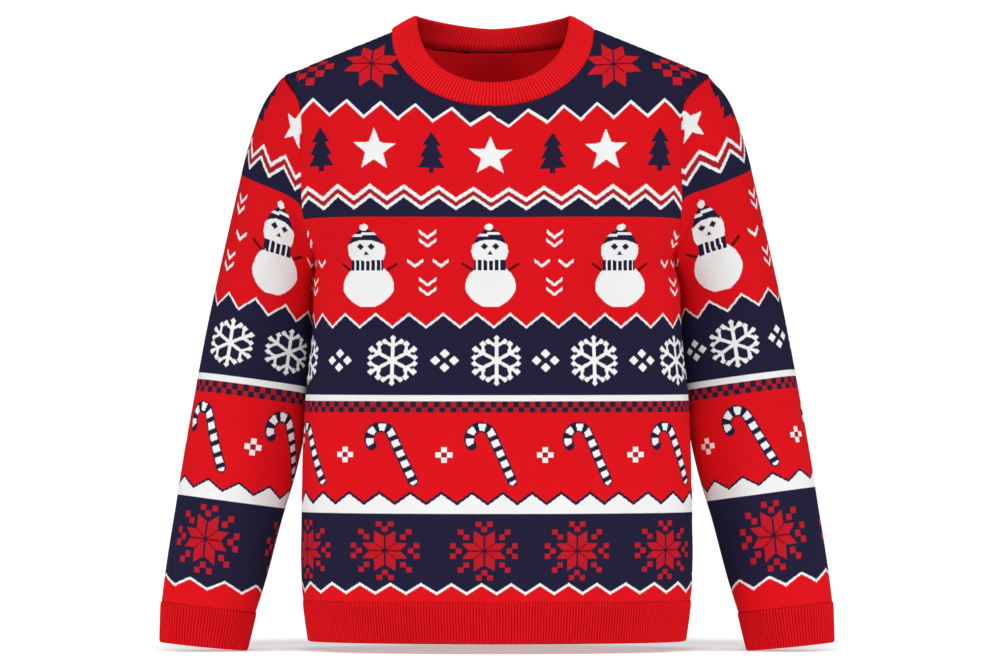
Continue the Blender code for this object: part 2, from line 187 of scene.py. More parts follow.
def row_spacing(x, side):
    """Height of a row over the chest and shoulder, a little less over the breastbone than by the armholes."""
    middle, outer = ROW_SPACING[side]
    bend = np.sqrt((1000 * x) ** 2 + SPACING_LEVEL**2) - SPACING_LEVEL
    return middle + (outer - middle) * SPACING_GAIN * bend / np.sqrt(bend**2 + SPACING_REACH**2)


def rising_rows(side):
    """Over each of many places across the chest, the row number that each height of the cloth has."""
    x = np.linspace(0, SHOULDER_POINT, 474)
    rise = 1 - (1 - np.linspace(0, 1, 700)) ** 2
    start = RIB_TOP + ROW_HEIGHT * FLAT_ROWS
    z = start + (shoulder_height(x)[:, None] - start) * rise
    y = torso_depth(np.repeat(x[:, None], len(rise), axis=1), z, side)
    steps = np.hypot(np.diff(y, axis=1), np.diff(z, axis=1))
    climbed = np.concatenate([np.zeros((len(x), 1)), np.cumsum(steps, axis=1)], axis=1)
    return x, z, FLAT_ROWS + climbed / row_spacing(x, side)[:, None]


ALONG_SEAM = 0.0060  # a row that has met the shoulder seam follows it this far, so that the seam is filled


def armhole_between(high, low, side):
    """The armhole seam over a panel, from one height down to another."""
    z = np.linspace(high, low, 30)
    return on_torso(armhole_half_width(z), z, side)


def row_line(row, side, field, below):
    """One row of stitches from the centre line out, where it meets a seam and ends, and where the armhole is.

    A row that runs nearly beside the armhole follows it down to where the row below met it. The lowest row
    that meets the shoulder seam follows that out to the shoulder point first.
    """
    z = RIB_TOP + ROW_HEIGHT * row
    if row <= FLAT_ROWS:
        x = torso("half_width", z) * np.sin(np.linspace(0, math.pi / 2, 400))
        z = np.full(len(x), z)
    else:
        x = field[0]
        z = np.array([np.interp(row, rows, heights) for heights, rows in zip(field[1], field[2])])
    line = on_torso(x, z, side)
    along = lengths_along(line)
    end = along[-1]
    met = None
    meeting = end
    if z[0] > UNDERARM:
        past_armhole = x - armhole_half_width(z)
        first = np.argmax(past_armhole > 0)
        if past_armhole[first] > 0:
            end = np.interp(0, past_armhole[first - 1 : first + 1], along[first - 1 : first + 1])
            met = np.interp(end, along, z)
    if row > FLAT_ROWS:
        room = field[2][:, -1] - row
        first = np.argmax(room < 0)
        if room[first] < 0:
            meeting = -ALONG_SEAM
            if first:
                meeting = np.interp(0, -room[first - 1 : first + 1], along[first - 1 : first + 1])
    at_shoulder = meeting < end
    seam = min(meeting, end)
    if at_shoulder and below is None:
        end = min(end, meeting + ALONG_SEAM)
        met = None
    if met is not None and below is not None and (at_shoulder or met - below > 2 * ROW_HEIGHT):
        line = np.concatenate([line[along < end], armhole_between(met, below, side)])
        along = lengths_along(line)
        end = along[-1]
    return line, along, (seam, end), None if at_shoulder else met


PULL = (  # column, and by how many stitches the knit is drawn sideways in the lower bands and in the yoke
    (-124, 0.0, 0.0),
    (-110, -4.0, 0.0),
    (-88, -2.7, -0.9),
    (-56, -0.2, -1.4),
    (-32, 0.5, -1.7),
    (0, -0.1, 0.3),
    (24, -1.6, 2.2),
    (64, -3.8, 0.0),
    (96, -1.8, -0.6),
    (124, 0.0, 0.0),
)
LOW_PULL_TOP = 228  # row at which the pull of the lower bands has ended
LOW_PULL_FADE = 16
YOKE_PULL_FOOT = 272  # row from which the pull of the yoke begins
YOKE_PULL_FADE = 10

ARMHOLE_DRAWN = {  # height, and how far the cloth beside the armhole has settled to the wearer's right there
    "left": (
        (-0.290, 0.0), (-0.250, 0.0055), (-0.160, 0.0082), (-0.080, 0.0078), (-0.066, 0.0050), (-0.050, 0.0),
    ),
    "right": (
        (-0.260, 0.0), (-0.247, 0.0010), (-0.205, 0.0040), (-0.090, 0.0042), (-0.070, 0.0030), (-0.050, 0.0),
    ),
}
DRAWN_REACH = 0.028
SEAM_LAP = 0.0013  # near the shoulder point, each of the two edges reaches this far past the seam line
LAP_REACH = 0.005
LAP_HEIGHTS = (-0.088, -0.072)  # where the lap begins, and where it is full
LEFT_OR_RIGHT = {"left": 1, "right": -1}


def settled(row, hand, lap):
    """A row of cloth drawn sideways beside the armhole, with its edge lapped over the seam near the top."""
    way = LEFT_OR_RIGHT[hand]
    moved = row * np.array([way, 1, 1])
    x, z = row[:, 0], row[:, 2]
    heights, distances = np.array(ARMHOLE_DRAWN[hand]).T
    from_armhole = x - armhole_half_width(z)
    share = np.clip(1 - (from_armhole / DRAWN_REACH) ** 2, 0, 1) ** 2
    by_edge = np.exp(-((from_armhole / LAP_REACH) ** 2)) * np.interp(z, LAP_HEIGHTS, (0, 1))
    moved[:, 0] += way * lap * by_edge - share * np.interp(z, heights, distances)
    return moved


def panel_lattice(side):
    """Corners of every stitch: rows rise from the hem rib, columns run from the wearer's right to left."""
    field = rising_rows(side)
    columns = np.arange(-MOST_COLUMNS, MOST_COLUMNS + 1)
    table = np.array(PULL)
    low_pull, high_pull = (np.interp(columns, table[:, 0], table[:, pull]) for pull in (1, 2))
    _, _, (_, girth), _ = row_line((UNDERARM - RIB_TOP) / ROW_HEIGHT, side, field, None)
    below = None
    lattice = np.zeros((TOP_ROW + 1, len(columns), 3))
    from_seam = np.zeros((TOP_ROW + 1, len(columns)))
    for row in range(TOP_ROW + 1):
        line, along, (seam, end), below = row_line(row, side, field, below)
        level = RIB_TOP + ROW_HEIGHT * row < UNDERARM
        width = (along[-1] if level else girth) / STITCHES_TO_SIDE
        low_share = np.clip((LOW_PULL_TOP - row) / LOW_PULL_FADE, 0, 1)
        high_share = np.clip((row - YOKE_PULL_FOOT) / YOKE_PULL_FADE, 0, 1)
        pulled = columns + low_pull * low_share + high_pull * high_share
        for hand, way in LEFT_OR_RIGHT.items():
            drawn = settled(line, hand, SEAM_LAP)
            around = lengths_along(drawn)
            seam_there, end_there = np.interp((seam, end), along, around)
            half = columns * way >= 0
            place = np.minimum(np.abs(width * pulled[half]), end_there)
            from_seam[row, half] = np.maximum(seam_there - place, 0)
            lattice[row, half] = points_at(place, around, drawn)
    return lattice, from_seam


NECK_SHIFT = -0.0045  # the band has settled a little towards the wearer's right


def open_neck(lattice, side):
    """Moves the stitch corners in the neck opening onto its edge, and says which half stitches are left."""
    x, z = lattice[..., 0] - NECK_SHIFT, lattice[..., 2]
    inside = (np.abs(x) < NECK_HALF_WIDTH - 1e-5) & (z > neck_height(x, side) + 1e-6)
    edge_x = NECK_HALF_WIDTH * np.sin(np.linspace(-math.pi / 2, math.pi / 2, 1601))
    edge = on_torso(edge_x + NECK_SHIFT, neck_height(edge_x, side), side)
    moved = lattice.copy()
    for row, column in zip(*np.nonzero(inside)):
        gaps = np.abs(edge - lattice[row, column]).sum(axis=1)
        moved[row, column] = edge[np.argmin(gaps)]
    kept = ~(inside[:-1, :-1] & inside[1:, :-1] & inside[:-1, 1:] & inside[1:, 1:])
    return moved, kept.repeat(2, axis=0).repeat(2, axis=1)


# Two reds are the body's red made lighter as painted light: the neckband's, where the same yarn takes more
# light, and that of the wrong side, which lies in shade inside the jumper.
RED, NAVY, WHITE, DEEP_RED, LINE_RED, MAROON, ROSETTE_RED, YOKE_RED, NECKBAND_PAINTED_LIGHT_RED, REVERSE_PAINTED_LIGHT_RED = range(10)
YARNS = (
    "#D70F19", "#1F1D38", "#ECEDED", "#A91A24", "#8B0010",
    "#5A0A0C", "#B81825", "#CA1722", "#EC1721", "#EE131D",
)


def linear(hex_colour):
    """sRGB hex colour as linear red, green and blue."""
    parts = [int(hex_colour[start : start + 2], 16) / 255 for start in (1, 3, 5)]
    return [part / 12.92 if part <= 0.04045 else ((part + 0.055) / 1.055) ** 2.4 for part in parts]


class Chart:
    """Yarns of a piece. A stitch has two legs and may change colour half-way up, so it has four fields."""

    def __init__(self, half_columns, rows):
        across = (np.arange(4 * half_columns) + 0.5) / 2 - half_columns
        up = (np.arange(2 * rows) + 0.5) / 2
        self.across, self.up = np.meshgrid(across, up)
        self.yarn = np.full(self.across.shape, RED)

    def knit(self, where, yarn):
        self.yarn[where] = yarn

    def from_point(self, x, y):
        return self.across - x, self.up - y


def wave(across, peak, period, low, high):
    """Height of a zigzag with straight slopes and a peak at the given column."""
    turn = np.mod((across - peak) / period, 1.0)
    return high - (high - low) * 2 * np.minimum(turn, 1 - turn)


def square(chart, x, y, yarn):
    dx, dy = chart.from_point(x, y)
    chart.knit((np.abs(dx) < 1.5) & (np.abs(dy) < 1.5), yarn)


def diamond(chart, x, y, half_wide, half_high, yarn):
    dx, dy = chart.from_point(x, y)
    chart.knit(np.abs(dx) / half_wide + np.abs(dy) / half_high < 1, yarn)


def bar(chart, x, y, angle, length, half, yarn):
    """Straight line from a point, at an angle from upright."""
    dx, dy = chart.from_point(x, y)
    side = dx * math.cos(angle) - dy * math.sin(angle)
    out = dx * math.sin(angle) + dy * math.cos(angle)
    chart.knit((np.abs(side) < half) & (out > -half) & (out < length), yarn)


def draw_star(chart, x, y):
    """A five-pointed white star, a little taller in rows than it is wide in stitches."""
    dx, dy = chart.from_point(x, y)
    dx, dy = dx / 12.0, dy / 13.6
    angle = np.mod(np.arctan2(dx, dy), 2 * math.pi / 5)
    angle = np.minimum(angle, 2 * math.pi / 5 - angle)
    inner, far = 0.42, math.pi / 5
    notch = inner * math.sin(far)
    edge = notch / (notch * np.cos(angle) + (1 - inner * math.cos(far)) * np.sin(angle))
    chart.knit(np.hypot(dx, dy) < edge, WHITE)


TREE_TIERS = (  # bottom, top, half_wide at the bottom, half_wide at the top
    (0.0, 3.5, 1.4, 1.4),
    (2.9, 11.4, 7.2, 2.6),
    (9.4, 18.2, 6.1, 2.0),
    (17.0, 25.4, 4.9, 0.2),
)


def draw_tree(chart, x, y, breadth=1.0):
    """A navy fir with three tiers of branches and a trunk."""
    dx, dy = chart.from_point(x, y - 13.0)
    dx = dx / breadth
    for bottom, top, wide, narrow in TREE_TIERS:
        share = (dy - bottom) / (top - bottom)
        chart.knit((share >= 0) & (share < 1) & (np.abs(dx) < wide + (narrow - wide) * share), NAVY)


def draw_snowman(chart, x, y, wide, head_wide=1.0):
    """A plain snowman with a bobble hat, a striped scarf and two twigs; y is the middle of its lower ball."""
    dx, dy = chart.from_point(x, y)
    dx = np.abs(dx / wide)
    for hand in (-1, 1):
        bar(chart, x + hand * wide * 10.0, y + 10.2, hand * math.radians(55), 6.8, 0.75, MAROON)
    upper_ball = (dx / 13.6) ** 2 + (dy / 13.9) ** 2 < 1
    lower_ball = (dx / 13.6) ** 1.6 + (np.abs(dy) / 12.0) ** 1.6 < 1
    chart.knit(np.where(dy > 0, upper_ball, lower_ball & (dy > -11.0)), WHITE)
    left, dy = (chart.across - x) / (wide * head_wide) + 0.5, dy - 21.2
    dx = np.abs(left)
    chart.knit(((dx / 9.8) ** 2 + (dy / 9.8) ** 2 < 1) & (np.abs(dy) < 7), WHITE)
    cap = (dx / 9.8) ** 1.6 + (np.maximum(dy, 0) / 13.0) ** 1.6 < 1
    chart.knit(cap & (dy > 6.5 - 2.2 * (dx / 8.0) ** 2) & (dy > 3.5), NAVY)
    chart.knit((left > -7.3) & (left < -1.2) & (np.abs(dy - 9.0) < 0.6) & cap, WHITE)
    chart.knit((left > -1.6) & (left < 5.6) & (np.abs(dy - 10.0) < 0.6) & cap, WHITE)
    chart.knit(((left + 0.6) / 2.2) ** 2 + ((dy - 13.7) / 1.9) ** 2 < 1, WHITE)
    scarf = (dx < 8.6) & (dy > -11.3) & (dy < -5.6 + 0.6 * dx / 9)
    chart.knit(scarf, NAVY)
    chart.knit(scarf & (np.mod(np.floor(chart.across - x), 3) == 1) & (dx < 7.4), WHITE)
    for hand in (-1, 1):
        diamond(chart, x - 0.5 + hand * 3.0, y + 23.8, 2.0, 1.8, NAVY)
    chart.knit((dy > -2.3) & (dy < -0.1) & (dx < 0.62 * (0.2 - dy)), NAVY)


def draw_chevron(chart, x, y):
    """A small white V whose point is at (x, y)."""
    dx, dy = chart.from_point(x, y)
    dx = np.abs(dx)
    chart.knit((np.abs(dy - 1.0 - dx * 0.80) < 0.95) & (dx < 4.4), WHITE)


def draw_snowflake(chart, x, y):
    """A six-armed white snowflake with forked arms and a bud at each end."""
    for turn in range(6):
        angle = turn * math.pi / 3
        root_x, root_y = x + 8.0 * math.sin(angle), y + 8.2 * math.cos(angle)
        limbs = [(x, y, angle, 13.0, 0.95)]
        limbs += [(root_x, root_y, angle + fork, 5.4, 0.8) for fork in (math.radians(-57), math.radians(57))]
        for start_x, start_y, way, length, half in limbs:
            bar(chart, start_x, start_y, way, length, half, WHITE)
            end_x, end_y = start_x + length * math.sin(way), start_y + length * math.cos(way)
            diamond(chart, end_x, end_y, 1.8, 1.8, WHITE)


def draw_four_diamonds(chart, x, y):
    for dx, dy in ((0, 4.1), (0, -4.1), (4.8, 0), (-4.8, 0)):
        diamond(chart, x + dx, y + dy, 2.8, 2.7, WHITE)


def draw_cross(chart, x, y):
    """Four white squares round a deep red one."""
    for dx, dy, yarn in ((0, 3, WHITE), (0, -3, WHITE), (3, 0, WHITE), (-3, 0, WHITE), (0, 0, DEEP_RED)):
        square(chart, x + dx, y + dy, yarn)


def draw_cane(chart, x, y):
    """A candy cane striped white and navy, outlined in navy, with its hook to the left."""
    lean, sweep, radius, shaft = math.radians(24.5), math.radians(190), 6.0, 27.0
    dx, dy = chart.from_point(x - 7.2, y + 8.5)
    dy = dy * ROW_HEIGHT / STITCH_WIDTH
    turn = np.mod(np.arctan2(dy, dx) - lean, 2 * math.pi)
    hook_gap = np.where(turn < sweep, np.abs(np.hypot(dx, dy) - radius), 99.0)
    end_gap = np.hypot(dx - radius * math.cos(lean + sweep), dy - radius * math.sin(lean + sweep))
    side = dx * math.cos(lean) + dy * math.sin(lean) - radius
    down = dx * math.sin(lean) - dy * math.cos(lean)
    shaft_gap = np.where(down > 0, np.hypot(side, np.maximum(down - shaft, 0)), 99.0)
    gap = np.minimum(np.minimum(hook_gap, end_gap), shaft_gap)
    along = np.where(shaft_gap < hook_gap, radius * sweep + down, radius * (sweep - turn))
    along = np.where(end_gap < np.minimum(hook_gap, shaft_gap), -0.5, along)
    chart.knit(gap < 2.75, NAVY)
    chart.knit((gap < 1.95) & (np.mod(along - 0.3, 5.85) < 3.4) & (along > 0.3), WHITE)


def draw_rosette(chart, x, y, half_wide, half_high, notch, tip, yarn=ROSETTE_RED):
    """A red eight-petalled star with thin dark gaps between its petals."""
    dx, dy = np.abs(chart.across - x), np.abs(chart.up - y)
    slope = half_high / half_wide
    upright = (dx < half_wide) & (dy > slope * dx) & (dy < notch + (tip - notch) * dx / half_wide)
    level = (dy < half_high) & (dy <= slope * dx) & (dx < notch + (tip - notch) * dy / half_high)
    chart.knit(upright | level, yarn)
    chart.knit((np.abs(dy - slope * dx) < 0.42) & (dx < half_wide), LINE_RED)
    chart.knit((dy < 0.5) & (dx < notch), LINE_RED)
    chart.knit((dx < 0.5) & (dy < notch) | (dx + dy < 1.8), NAVY)


def draw_square_ring(chart, x, y):
    """Small red squares round a star."""
    for dx, dy in ((0, 12.4), (3.1, 15.4), (13.4, 0), (16.4, 3.1), (9.4, 7.8), (12.4, 10.9)):
        for hand in (-1, 1):
            for way in (-1, 1):
                square(chart, x + hand * dx, y + way * dy, ROSETTE_RED)


def draw_checked_diamond(chart, x, y):
    """Small red squares set corner to corner in a diamond on the shoulder."""
    for right, up in ((0, 2), (-1, 1), (1, 1), (-2, 0), (0, 0), (2, 0), (-1, -1), (1, -1), (0, -2)):
        dx, dy = chart.from_point(x + 5.2 * right, y + 5.9 * up)
        chart.knit((np.abs(dx) < 2.5) & (np.abs(dy) < 2.75), YOKE_RED)


NAVY_BAND_TOP = 51.4
CHECK_ROWS = (110, 116.5)
STRIPE_TOP = 120
DOUBLE_ZIGZAG_FOOT = 223


def draw_bands(chart, peak, period, line=1.0):
    """The plain bands and the zigzags between them: each has a peak's column and a period."""
    across, up = chart.across, chart.up
    low = wave(across, peak["lower"], period["lower"], 5.3, 10.6)
    chart.knit((up > low) & (up < NAVY_BAND_TOP), NAVY)
    chart.knit(np.abs(up - low) < 0.85 * line, WHITE)
    upper = wave(across, peak["white"], period["white"], 57.2, 63.6)
    chart.knit((up > NAVY_BAND_TOP) & (up < upper), WHITE)
    chart.knit(np.abs(up - upper) < 0.95 * line, NAVY)
    foot, top = CHECK_ROWS
    check = (up >= foot) & (up < top)
    chart.knit(check, DEEP_RED)
    chart.knit(check & (np.mod(np.floor(across / 3) + np.floor((up - foot) / 3.25), 2) < 1), NAVY)
    chart.knit((up >= top) & (up < STRIPE_TOP), WHITE)
    thin = wave(across, peak["thin"], period["thin"], 159.2, 166.7)
    chart.knit((up >= STRIPE_TOP) & (up < thin), NAVY)
    chart.knit(np.abs(up - thin) < 0.8 * line, WHITE)
    double = wave(across, peak["double"], period["double"], 228.2, 235.4)
    chart.knit((up > DOUBLE_ZIGZAG_FOOT) & (up < double + 6), NAVY)
    chart.knit((up - double > -1.1 * line) & (up - double < 6.6), WHITE)
    chart.knit((up - double > 1.1 * line) & (up - double < 6.6 - 2.6 * line), DEEP_RED)


PANEL_PEAKS = {"lower": 8.0, "white": 3.3, "thin": 7.5, "double": 6.2, "yoke": -3.9}
PANEL_PERIODS = {"lower": 16, "white": 16.1, "thin": 18, "double": 18.3, "yoke": 18.8}
CHEVRON_ROWS = (209.9, 205.0, 182.5, 177.0)


def panel_chart():
    chart = Chart(MOST_COLUMNS, TOP_ROW)
    draw_bands(chart, PANEL_PEAKS, PANEL_PERIODS)
    yoke = wave(chart.across, PANEL_PEAKS["yoke"], PANEL_PERIODS["yoke"], 282.2, 291.6)
    chart.knit(chart.up > yoke, NAVY)
    chart.knit(np.abs(chart.up - yoke) < 1.1, WHITE)
    for x in (-106.5, -58.5, -6.5, 44.5, 94.5):
        draw_rosette(chart, x, 30.0, 5.7, 4.6, 8.0, 11.9)
        draw_square_ring(chart, x, 30.0)
    for x in (-103.5, -53.0, -1.0, 52.0, 101.0):
        draw_cane(chart, x, 86.4)
    for x in (-79.5, -27.5, 26.5, 76.5):
        draw_cross(chart, x, 85.5)
    for x in (-116.0, -55.0, 0.0, 54.5, 107.0):
        draw_snowflake(chart, x, 140.0)
    for x in (-85.0, -27.5, 27.0, 82.0):
        draw_four_diamonds(chart, x, 140.0)
    for x, wide in ((-69.0, 1.08), (-3.0, 1.0), (70.0, 1.08)):
        draw_snowman(chart, x, 182.0, wide)
    for x in (-110.5, -36.5, 32.0, 109.0):
        for y in CHEVRON_ROWS:
            draw_chevron(chart, x, y)
        for beside in (-6.8, 6.8):
            draw_chevron(chart, x + beside, 193.4)
    for x in (-94.5, -34.2, 29.1, 87.0):
        draw_tree(chart, x, 262.6)
    for x in (-64.8, -3.4, 57.5):
        draw_star(chart, x, 262.2)
    for x in (-66.0, 62.5):
        draw_rosette(chart, x, 316.5, 6.7, 6.2, 9.8, 15.6, YOKE_RED)
    for x in (-100.2, 97.5):
        draw_checked_diamond(chart, x, 315.2)
    return chart.yarn


BLOCK = 8  # half stitches to the side of the largest plain face
STITCH_DIP = 0.38  # the legs of a stitch meet lower, by this share of a row, so colours meet in fine teeth


def knitted(name, lattice, yarn, kept):
    """Mesh of a knitted piece: large faces where it is plain, smaller ones down to half a stitch at edges."""
    fine = np.zeros((2 * lattice.shape[0] - 1, 2 * lattice.shape[1] - 1, 3))
    fine[::2, ::2] = lattice
    fine[1::2, ::2] = (lattice[:-1] + lattice[1:]) / 2
    fine[:, 1::2] = (fine[:, :-1:2] + fine[:, 2::2]) / 2
    rows, columns = yarn.shape
    high, wide = -(-rows // BLOCK) * BLOCK, -(-columns // BLOCK) * BLOCK
    code = np.full((high, wide), -1)
    code[:rows, :columns] = np.where(kept, yarn, -1)
    dip = np.zeros((rows + 1, columns + 1))
    whole_round = kept[:-1, :-1] & kept[1:, :-1] & kept[:-1, 1:] & kept[1:, 1:]
    wide_enough = np.linalg.norm(fine[1:-1, 2:] - fine[1:-1, :-2], axis=2) > 0.3 * STITCH_WIDTH
    dip[1:-1, 1:-1] = STITCH_DIP * (whole_round & wide_enough)
    dip[:, ::2] = 0
    fine -= 2 * np.gradient(fine, axis=0) * dip[..., None]
    small = np.zeros((high, wide), bool)  # faces must be small above an edge between yarns, and at a seam
    small[1:] = (code[1:] != code[:-1]) & (code[1:] >= 0) & (code[:-1] >= 0)
    widths = np.linalg.norm(np.diff(fine, axis=1), axis=2) * 2 / STITCH_WIDTH
    narrowest, widest = np.minimum(widths[1:], widths[:-1]), np.maximum(widths[1:], widths[:-1])
    small[:rows, :columns] |= (narrowest < 0.5) & (widest > 0.05)
    cells = []
    open_blocks = np.ones((high // BLOCK, wide // BLOCK), bool)
    size = BLOCK
    while size:
        tiles = code.reshape(high // size, size, wide // size, size)
        low, most = tiles.min(axis=(1, 3)), tiles.max(axis=(1, 3))
        too_big = small.reshape(tiles.shape).any(axis=(1, 3)) & (size > 1)
        whole = open_blocks & (low == most) & ~too_big
        cells += [(row * size, column * size, size, low[row, column]) for row, column in np.argwhere(whole)]
        open_blocks = (open_blocks & ~whole).repeat(2, axis=0).repeat(2, axis=1)
        size //= 2
    cells = [cell for cell in cells if cell[3] >= 0]
    used = np.zeros((high + 1, wide + 1), bool)
    for row, column, size, _ in cells:
        used[row : row + size + 1 : size, column : column + size + 1 : size] = True
    points, number = np.unique(np.round(fine.reshape(-1, 3), 6), axis=0, return_inverse=True)
    number = number.reshape(fine.shape[:2])
    faces, places, yarns = [], [], []
    for row, column, size, colour in cells:
        step = range(size)
        rim = [(row, column + at) for at in step] + [(row + at, column + size) for at in step]
        rim += [(row + size, column + size - at) for at in step] + [(row + size - at, column) for at in step]
        rim = [place for place in rim if used[place]]
        face = [number[place] for place in rim]
        keep = [at for at in range(len(face)) if face[at] != face[at - 1]]
        if len(keep) > 2 and len({face[at] for at in keep}) == len(keep):
            faces.append([face[at] for at in keep])
            places.append([(rim[at][1] / 2, rim[at][0] / 2 - dip[rim[at]]) for at in keep])
            yarns.append(colour)
    return mesh_piece(name, points, faces, places, yarns, max(lattice.shape[:2]) + 2)


def mesh_piece(name, points, faces, places, yarns, bake_size):
    """Object with smooth faces, stitch coordinates, a bake map and a yarn colour for each face."""
    corners = np.concatenate([np.array(face) for face in faces])
    used, loops = np.unique(corners, return_inverse=True)
    sizes = np.array([len(face) for face in faces])
    mesh = bpy.data.meshes.new(name)
    mesh.vertices.add(len(used))
    mesh.vertices.foreach_set("co", points[used].astype(np.float32).ravel())
    mesh.loops.add(len(loops))
    mesh.loops.foreach_set("vertex_index", loops.astype(np.int32))
    mesh.polygons.add(len(faces))
    mesh.polygons.foreach_set("loop_start", np.concatenate([[0], np.cumsum(sizes)[:-1]]).astype(np.int32))
    mesh.update(calc_edges=True)
    place = np.concatenate([np.array(place, float) for place in places])
    stitches = mesh.uv_layers.new(name="stitches")
    stitches.data.foreach_set("uv", place.astype(np.float32).ravel())
    bake = mesh.uv_layers.new(name="OFBake")
    bake.data.foreach_set("uv", ((place + 1) / bake_size).astype(np.float32).ravel())
    colours = np.array([linear(colour) + [1.0] for colour in YARNS])
    painted = mesh.color_attributes.new("yarn", "FLOAT_COLOR", "CORNER")
    painted.data.foreach_set("color", np.repeat(colours[yarns], sizes, axis=0).astype(np.float32).ravel())
    mesh.shade_smooth()
    piece = bpy.data.objects.new(name, mesh)
    bpy.context.scene.collection.objects.link(piece)
    return piece


def sheet_normals(lattice, outwards):
    """Outward directions of a sheet at its stitch corners; outwards says which way the first one points."""
    across = np.gradient(lattice, axis=1)
    along = np.gradient(lattice, axis=0)
    normals = np.cross(across, along) * outwards
    lengths = np.linalg.norm(normals, axis=2, keepdims=True)
    sound = lengths > 0.3 * STITCH_WIDTH * ROW_HEIGHT
    normals = np.where(sound, normals / np.maximum(lengths, 1e-12), 0.0)
    count = lattice.shape[1]
    for column in range(count // 2 + 1, count):  # corners that share a place on a seam take the one beside
        for inner, outer in ((column - 1, column), (count - column, count - 1 - column)):
            lost = np.linalg.norm(normals[:, outer], axis=1) < 0.5
            normals[lost, outer] = normals[lost, inner]
    for row in range(1, len(normals)):
        lost = np.linalg.norm(normals[row], axis=1) < 0.5
        normals[row, lost] = normals[row - 1, lost]
    return normals


DRAWN_OUT = 3.1  # rows: cells of two rows that are taller than this follow the shoulder seam and are left out


def reverse_of(name, lattice, outwards, kept):
    """The wrong side of a knitted piece in plain red, lighter than the front's red as painted light on an
    inside that lies in shade: its floats are caught in, so no pattern shows there.
    """
    inner = lattice - CLOTH * sheet_normals(lattice, outwards)
    inner = inner[::2, ::2]
    rows, columns = (count - count % 4 for count in kept.shape)
    coarse = kept[:rows, :columns].reshape(rows // 4, 4, columns // 4, 4).any(axis=(1, 3))
    tall = np.linalg.norm(np.diff(inner, axis=0), axis=2) > DRAWN_OUT * ROW_HEIGHT
    coarse &= ~(tall[:, :-1] | tall[:, 1:])[: rows // 4, : columns // 4]
    faces, places = [], []
    width = inner.shape[1]
    for row, column in np.argwhere(coarse):
        rim = [(row, column), (row + 1, column), (row + 1, column + 1), (row, column + 1)]
        diagonals = inner[rim[2]] - inner[rim[0]], inner[rim[3]] - inner[rim[1]]
        if np.linalg.norm(np.cross(*diagonals)) < 3 * STITCH_WIDTH * ROW_HEIGHT:
            continue
        faces.append([at * width + beside for at, beside in rim])
        places.append([(beside * 2.0, at * 2.0) for at, beside in rim])
    points = inner.reshape(-1, 3)
    # The wrong side takes a lighter red than the front: painted light on the shaded inside.
    return mesh_piece(name, points, faces, places, [REVERSE_PAINTED_LIGHT_RED] * len(faces), max(lattice.shape[:2]) + 2)


def node(tree, kind, inputs=None, **settings):
    """Adds a node with its settings, and sets or links its inputs."""
    made = tree.nodes.new(kind)
    for setting, value in settings.items():
        setattr(made, setting, value)
    for socket, value in (inputs or {}).items():
        if isinstance(value, bpy.types.NodeSocket):
            tree.links.new(value, made.inputs[socket])
        else:
            made.inputs[socket].default_value = value
    return made


def arithmetic(tree):
    """Short form for a sum on sockets and numbers in a material."""
    return lambda operation, *values: node(
        tree, "ShaderNodeMath", dict(enumerate(values)), operation=operation
    ).outputs[0]


def yarn_material(name, relief, painted_shade_and_highlight, bump_depth):
    """Matt combed yarn: relief gives the height of the stitches, and the two tones are colour factors for its
    low and high places, a painted shade in the grooves and a painted highlight on the crests.

    Its short fibres scatter the light, so the colours stay full from every side and nothing shines. The grain
    is the unevenness of the yarn inside a stitch, and the drift is that of the dye over some thirty stitches,
    so plain cloth isn't flat in tone. One unit of the map is one stitch.
    """
    material = bpy.data.materials.new(name)
    material.use_nodes = True
    tree = material.node_tree
    shader = tree.nodes["Principled BSDF"]
    sums = arithmetic(tree)
    place = node(tree, "ShaderNodeUVMap", uv_map="stitches").outputs[0]
    split = node(tree, "ShaderNodeSeparateXYZ", {0: place})
    height = relief(sums, sums("FRACT", split.outputs[0]), split.outputs[1])
    grain = node(tree, "ShaderNodeTexNoise", {"Vector": place, "Scale": 1.7, "Detail": 3.0, "Roughness": 0.7})
    drift = node(tree, "ShaderNodeTexNoise", {"Vector": place, "Scale": 0.035, "Detail": 2.0})
    # Painted shade and highlight: the yarn colour is darkened in the low places between stitches and
    # lightened on the high ones.
    shade = sums("MULTIPLY_ADD", height, painted_shade_and_highlight[1] - painted_shade_and_highlight[0], painted_shade_and_highlight[0])
    shade = sums("MULTIPLY", shade, sums("MULTIPLY_ADD", grain.outputs[0], 0.22, 0.89))
    shade = sums("MULTIPLY", shade, sums("MULTIPLY_ADD", drift.outputs[0], 0.10, 0.95))
    yarn = node(tree, "ShaderNodeAttribute", attribute_name="yarn").outputs["Color"]
    toned = node(tree, "ShaderNodeVectorMath", {0: yarn, "Scale": shade}, operation="SCALE")
    bump_height = sums("MULTIPLY_ADD", grain.outputs[0], 0.35, height)
    bump = node(tree, "ShaderNodeBump", {"Strength": 0.35, "Distance": bump_depth, "Height": bump_height})
    tree.links.new(toned.outputs[0], shader.inputs["Base Color"])
    tree.links.new(bump.outputs[0], shader.inputs["Normal"])
    shader.inputs["Roughness"].default_value = 0.9
    shader.inputs["Specular IOR Level"].default_value = 0.08
    return material


def stockinette(sums, across, up):
    """Two slanting legs to a stitch, which meet at its foot, and a groove between the columns."""
    off = sums("MULTIPLY", sums("ABSOLUTE", sums("SUBTRACT", across, 0.5)), 2.0)
    leg = sums("SINE", sums("MULTIPLY", off, math.pi))
    turn = sums("COSINE", sums("MULTIPLY", sums("SUBTRACT", up, sums("MULTIPLY", off, 0.8)), 2 * math.pi))
    return sums("MULTIPLY", sums("POWER", leg, 0.6), sums("MULTIPLY_ADD", turn, 0.28, 0.72))


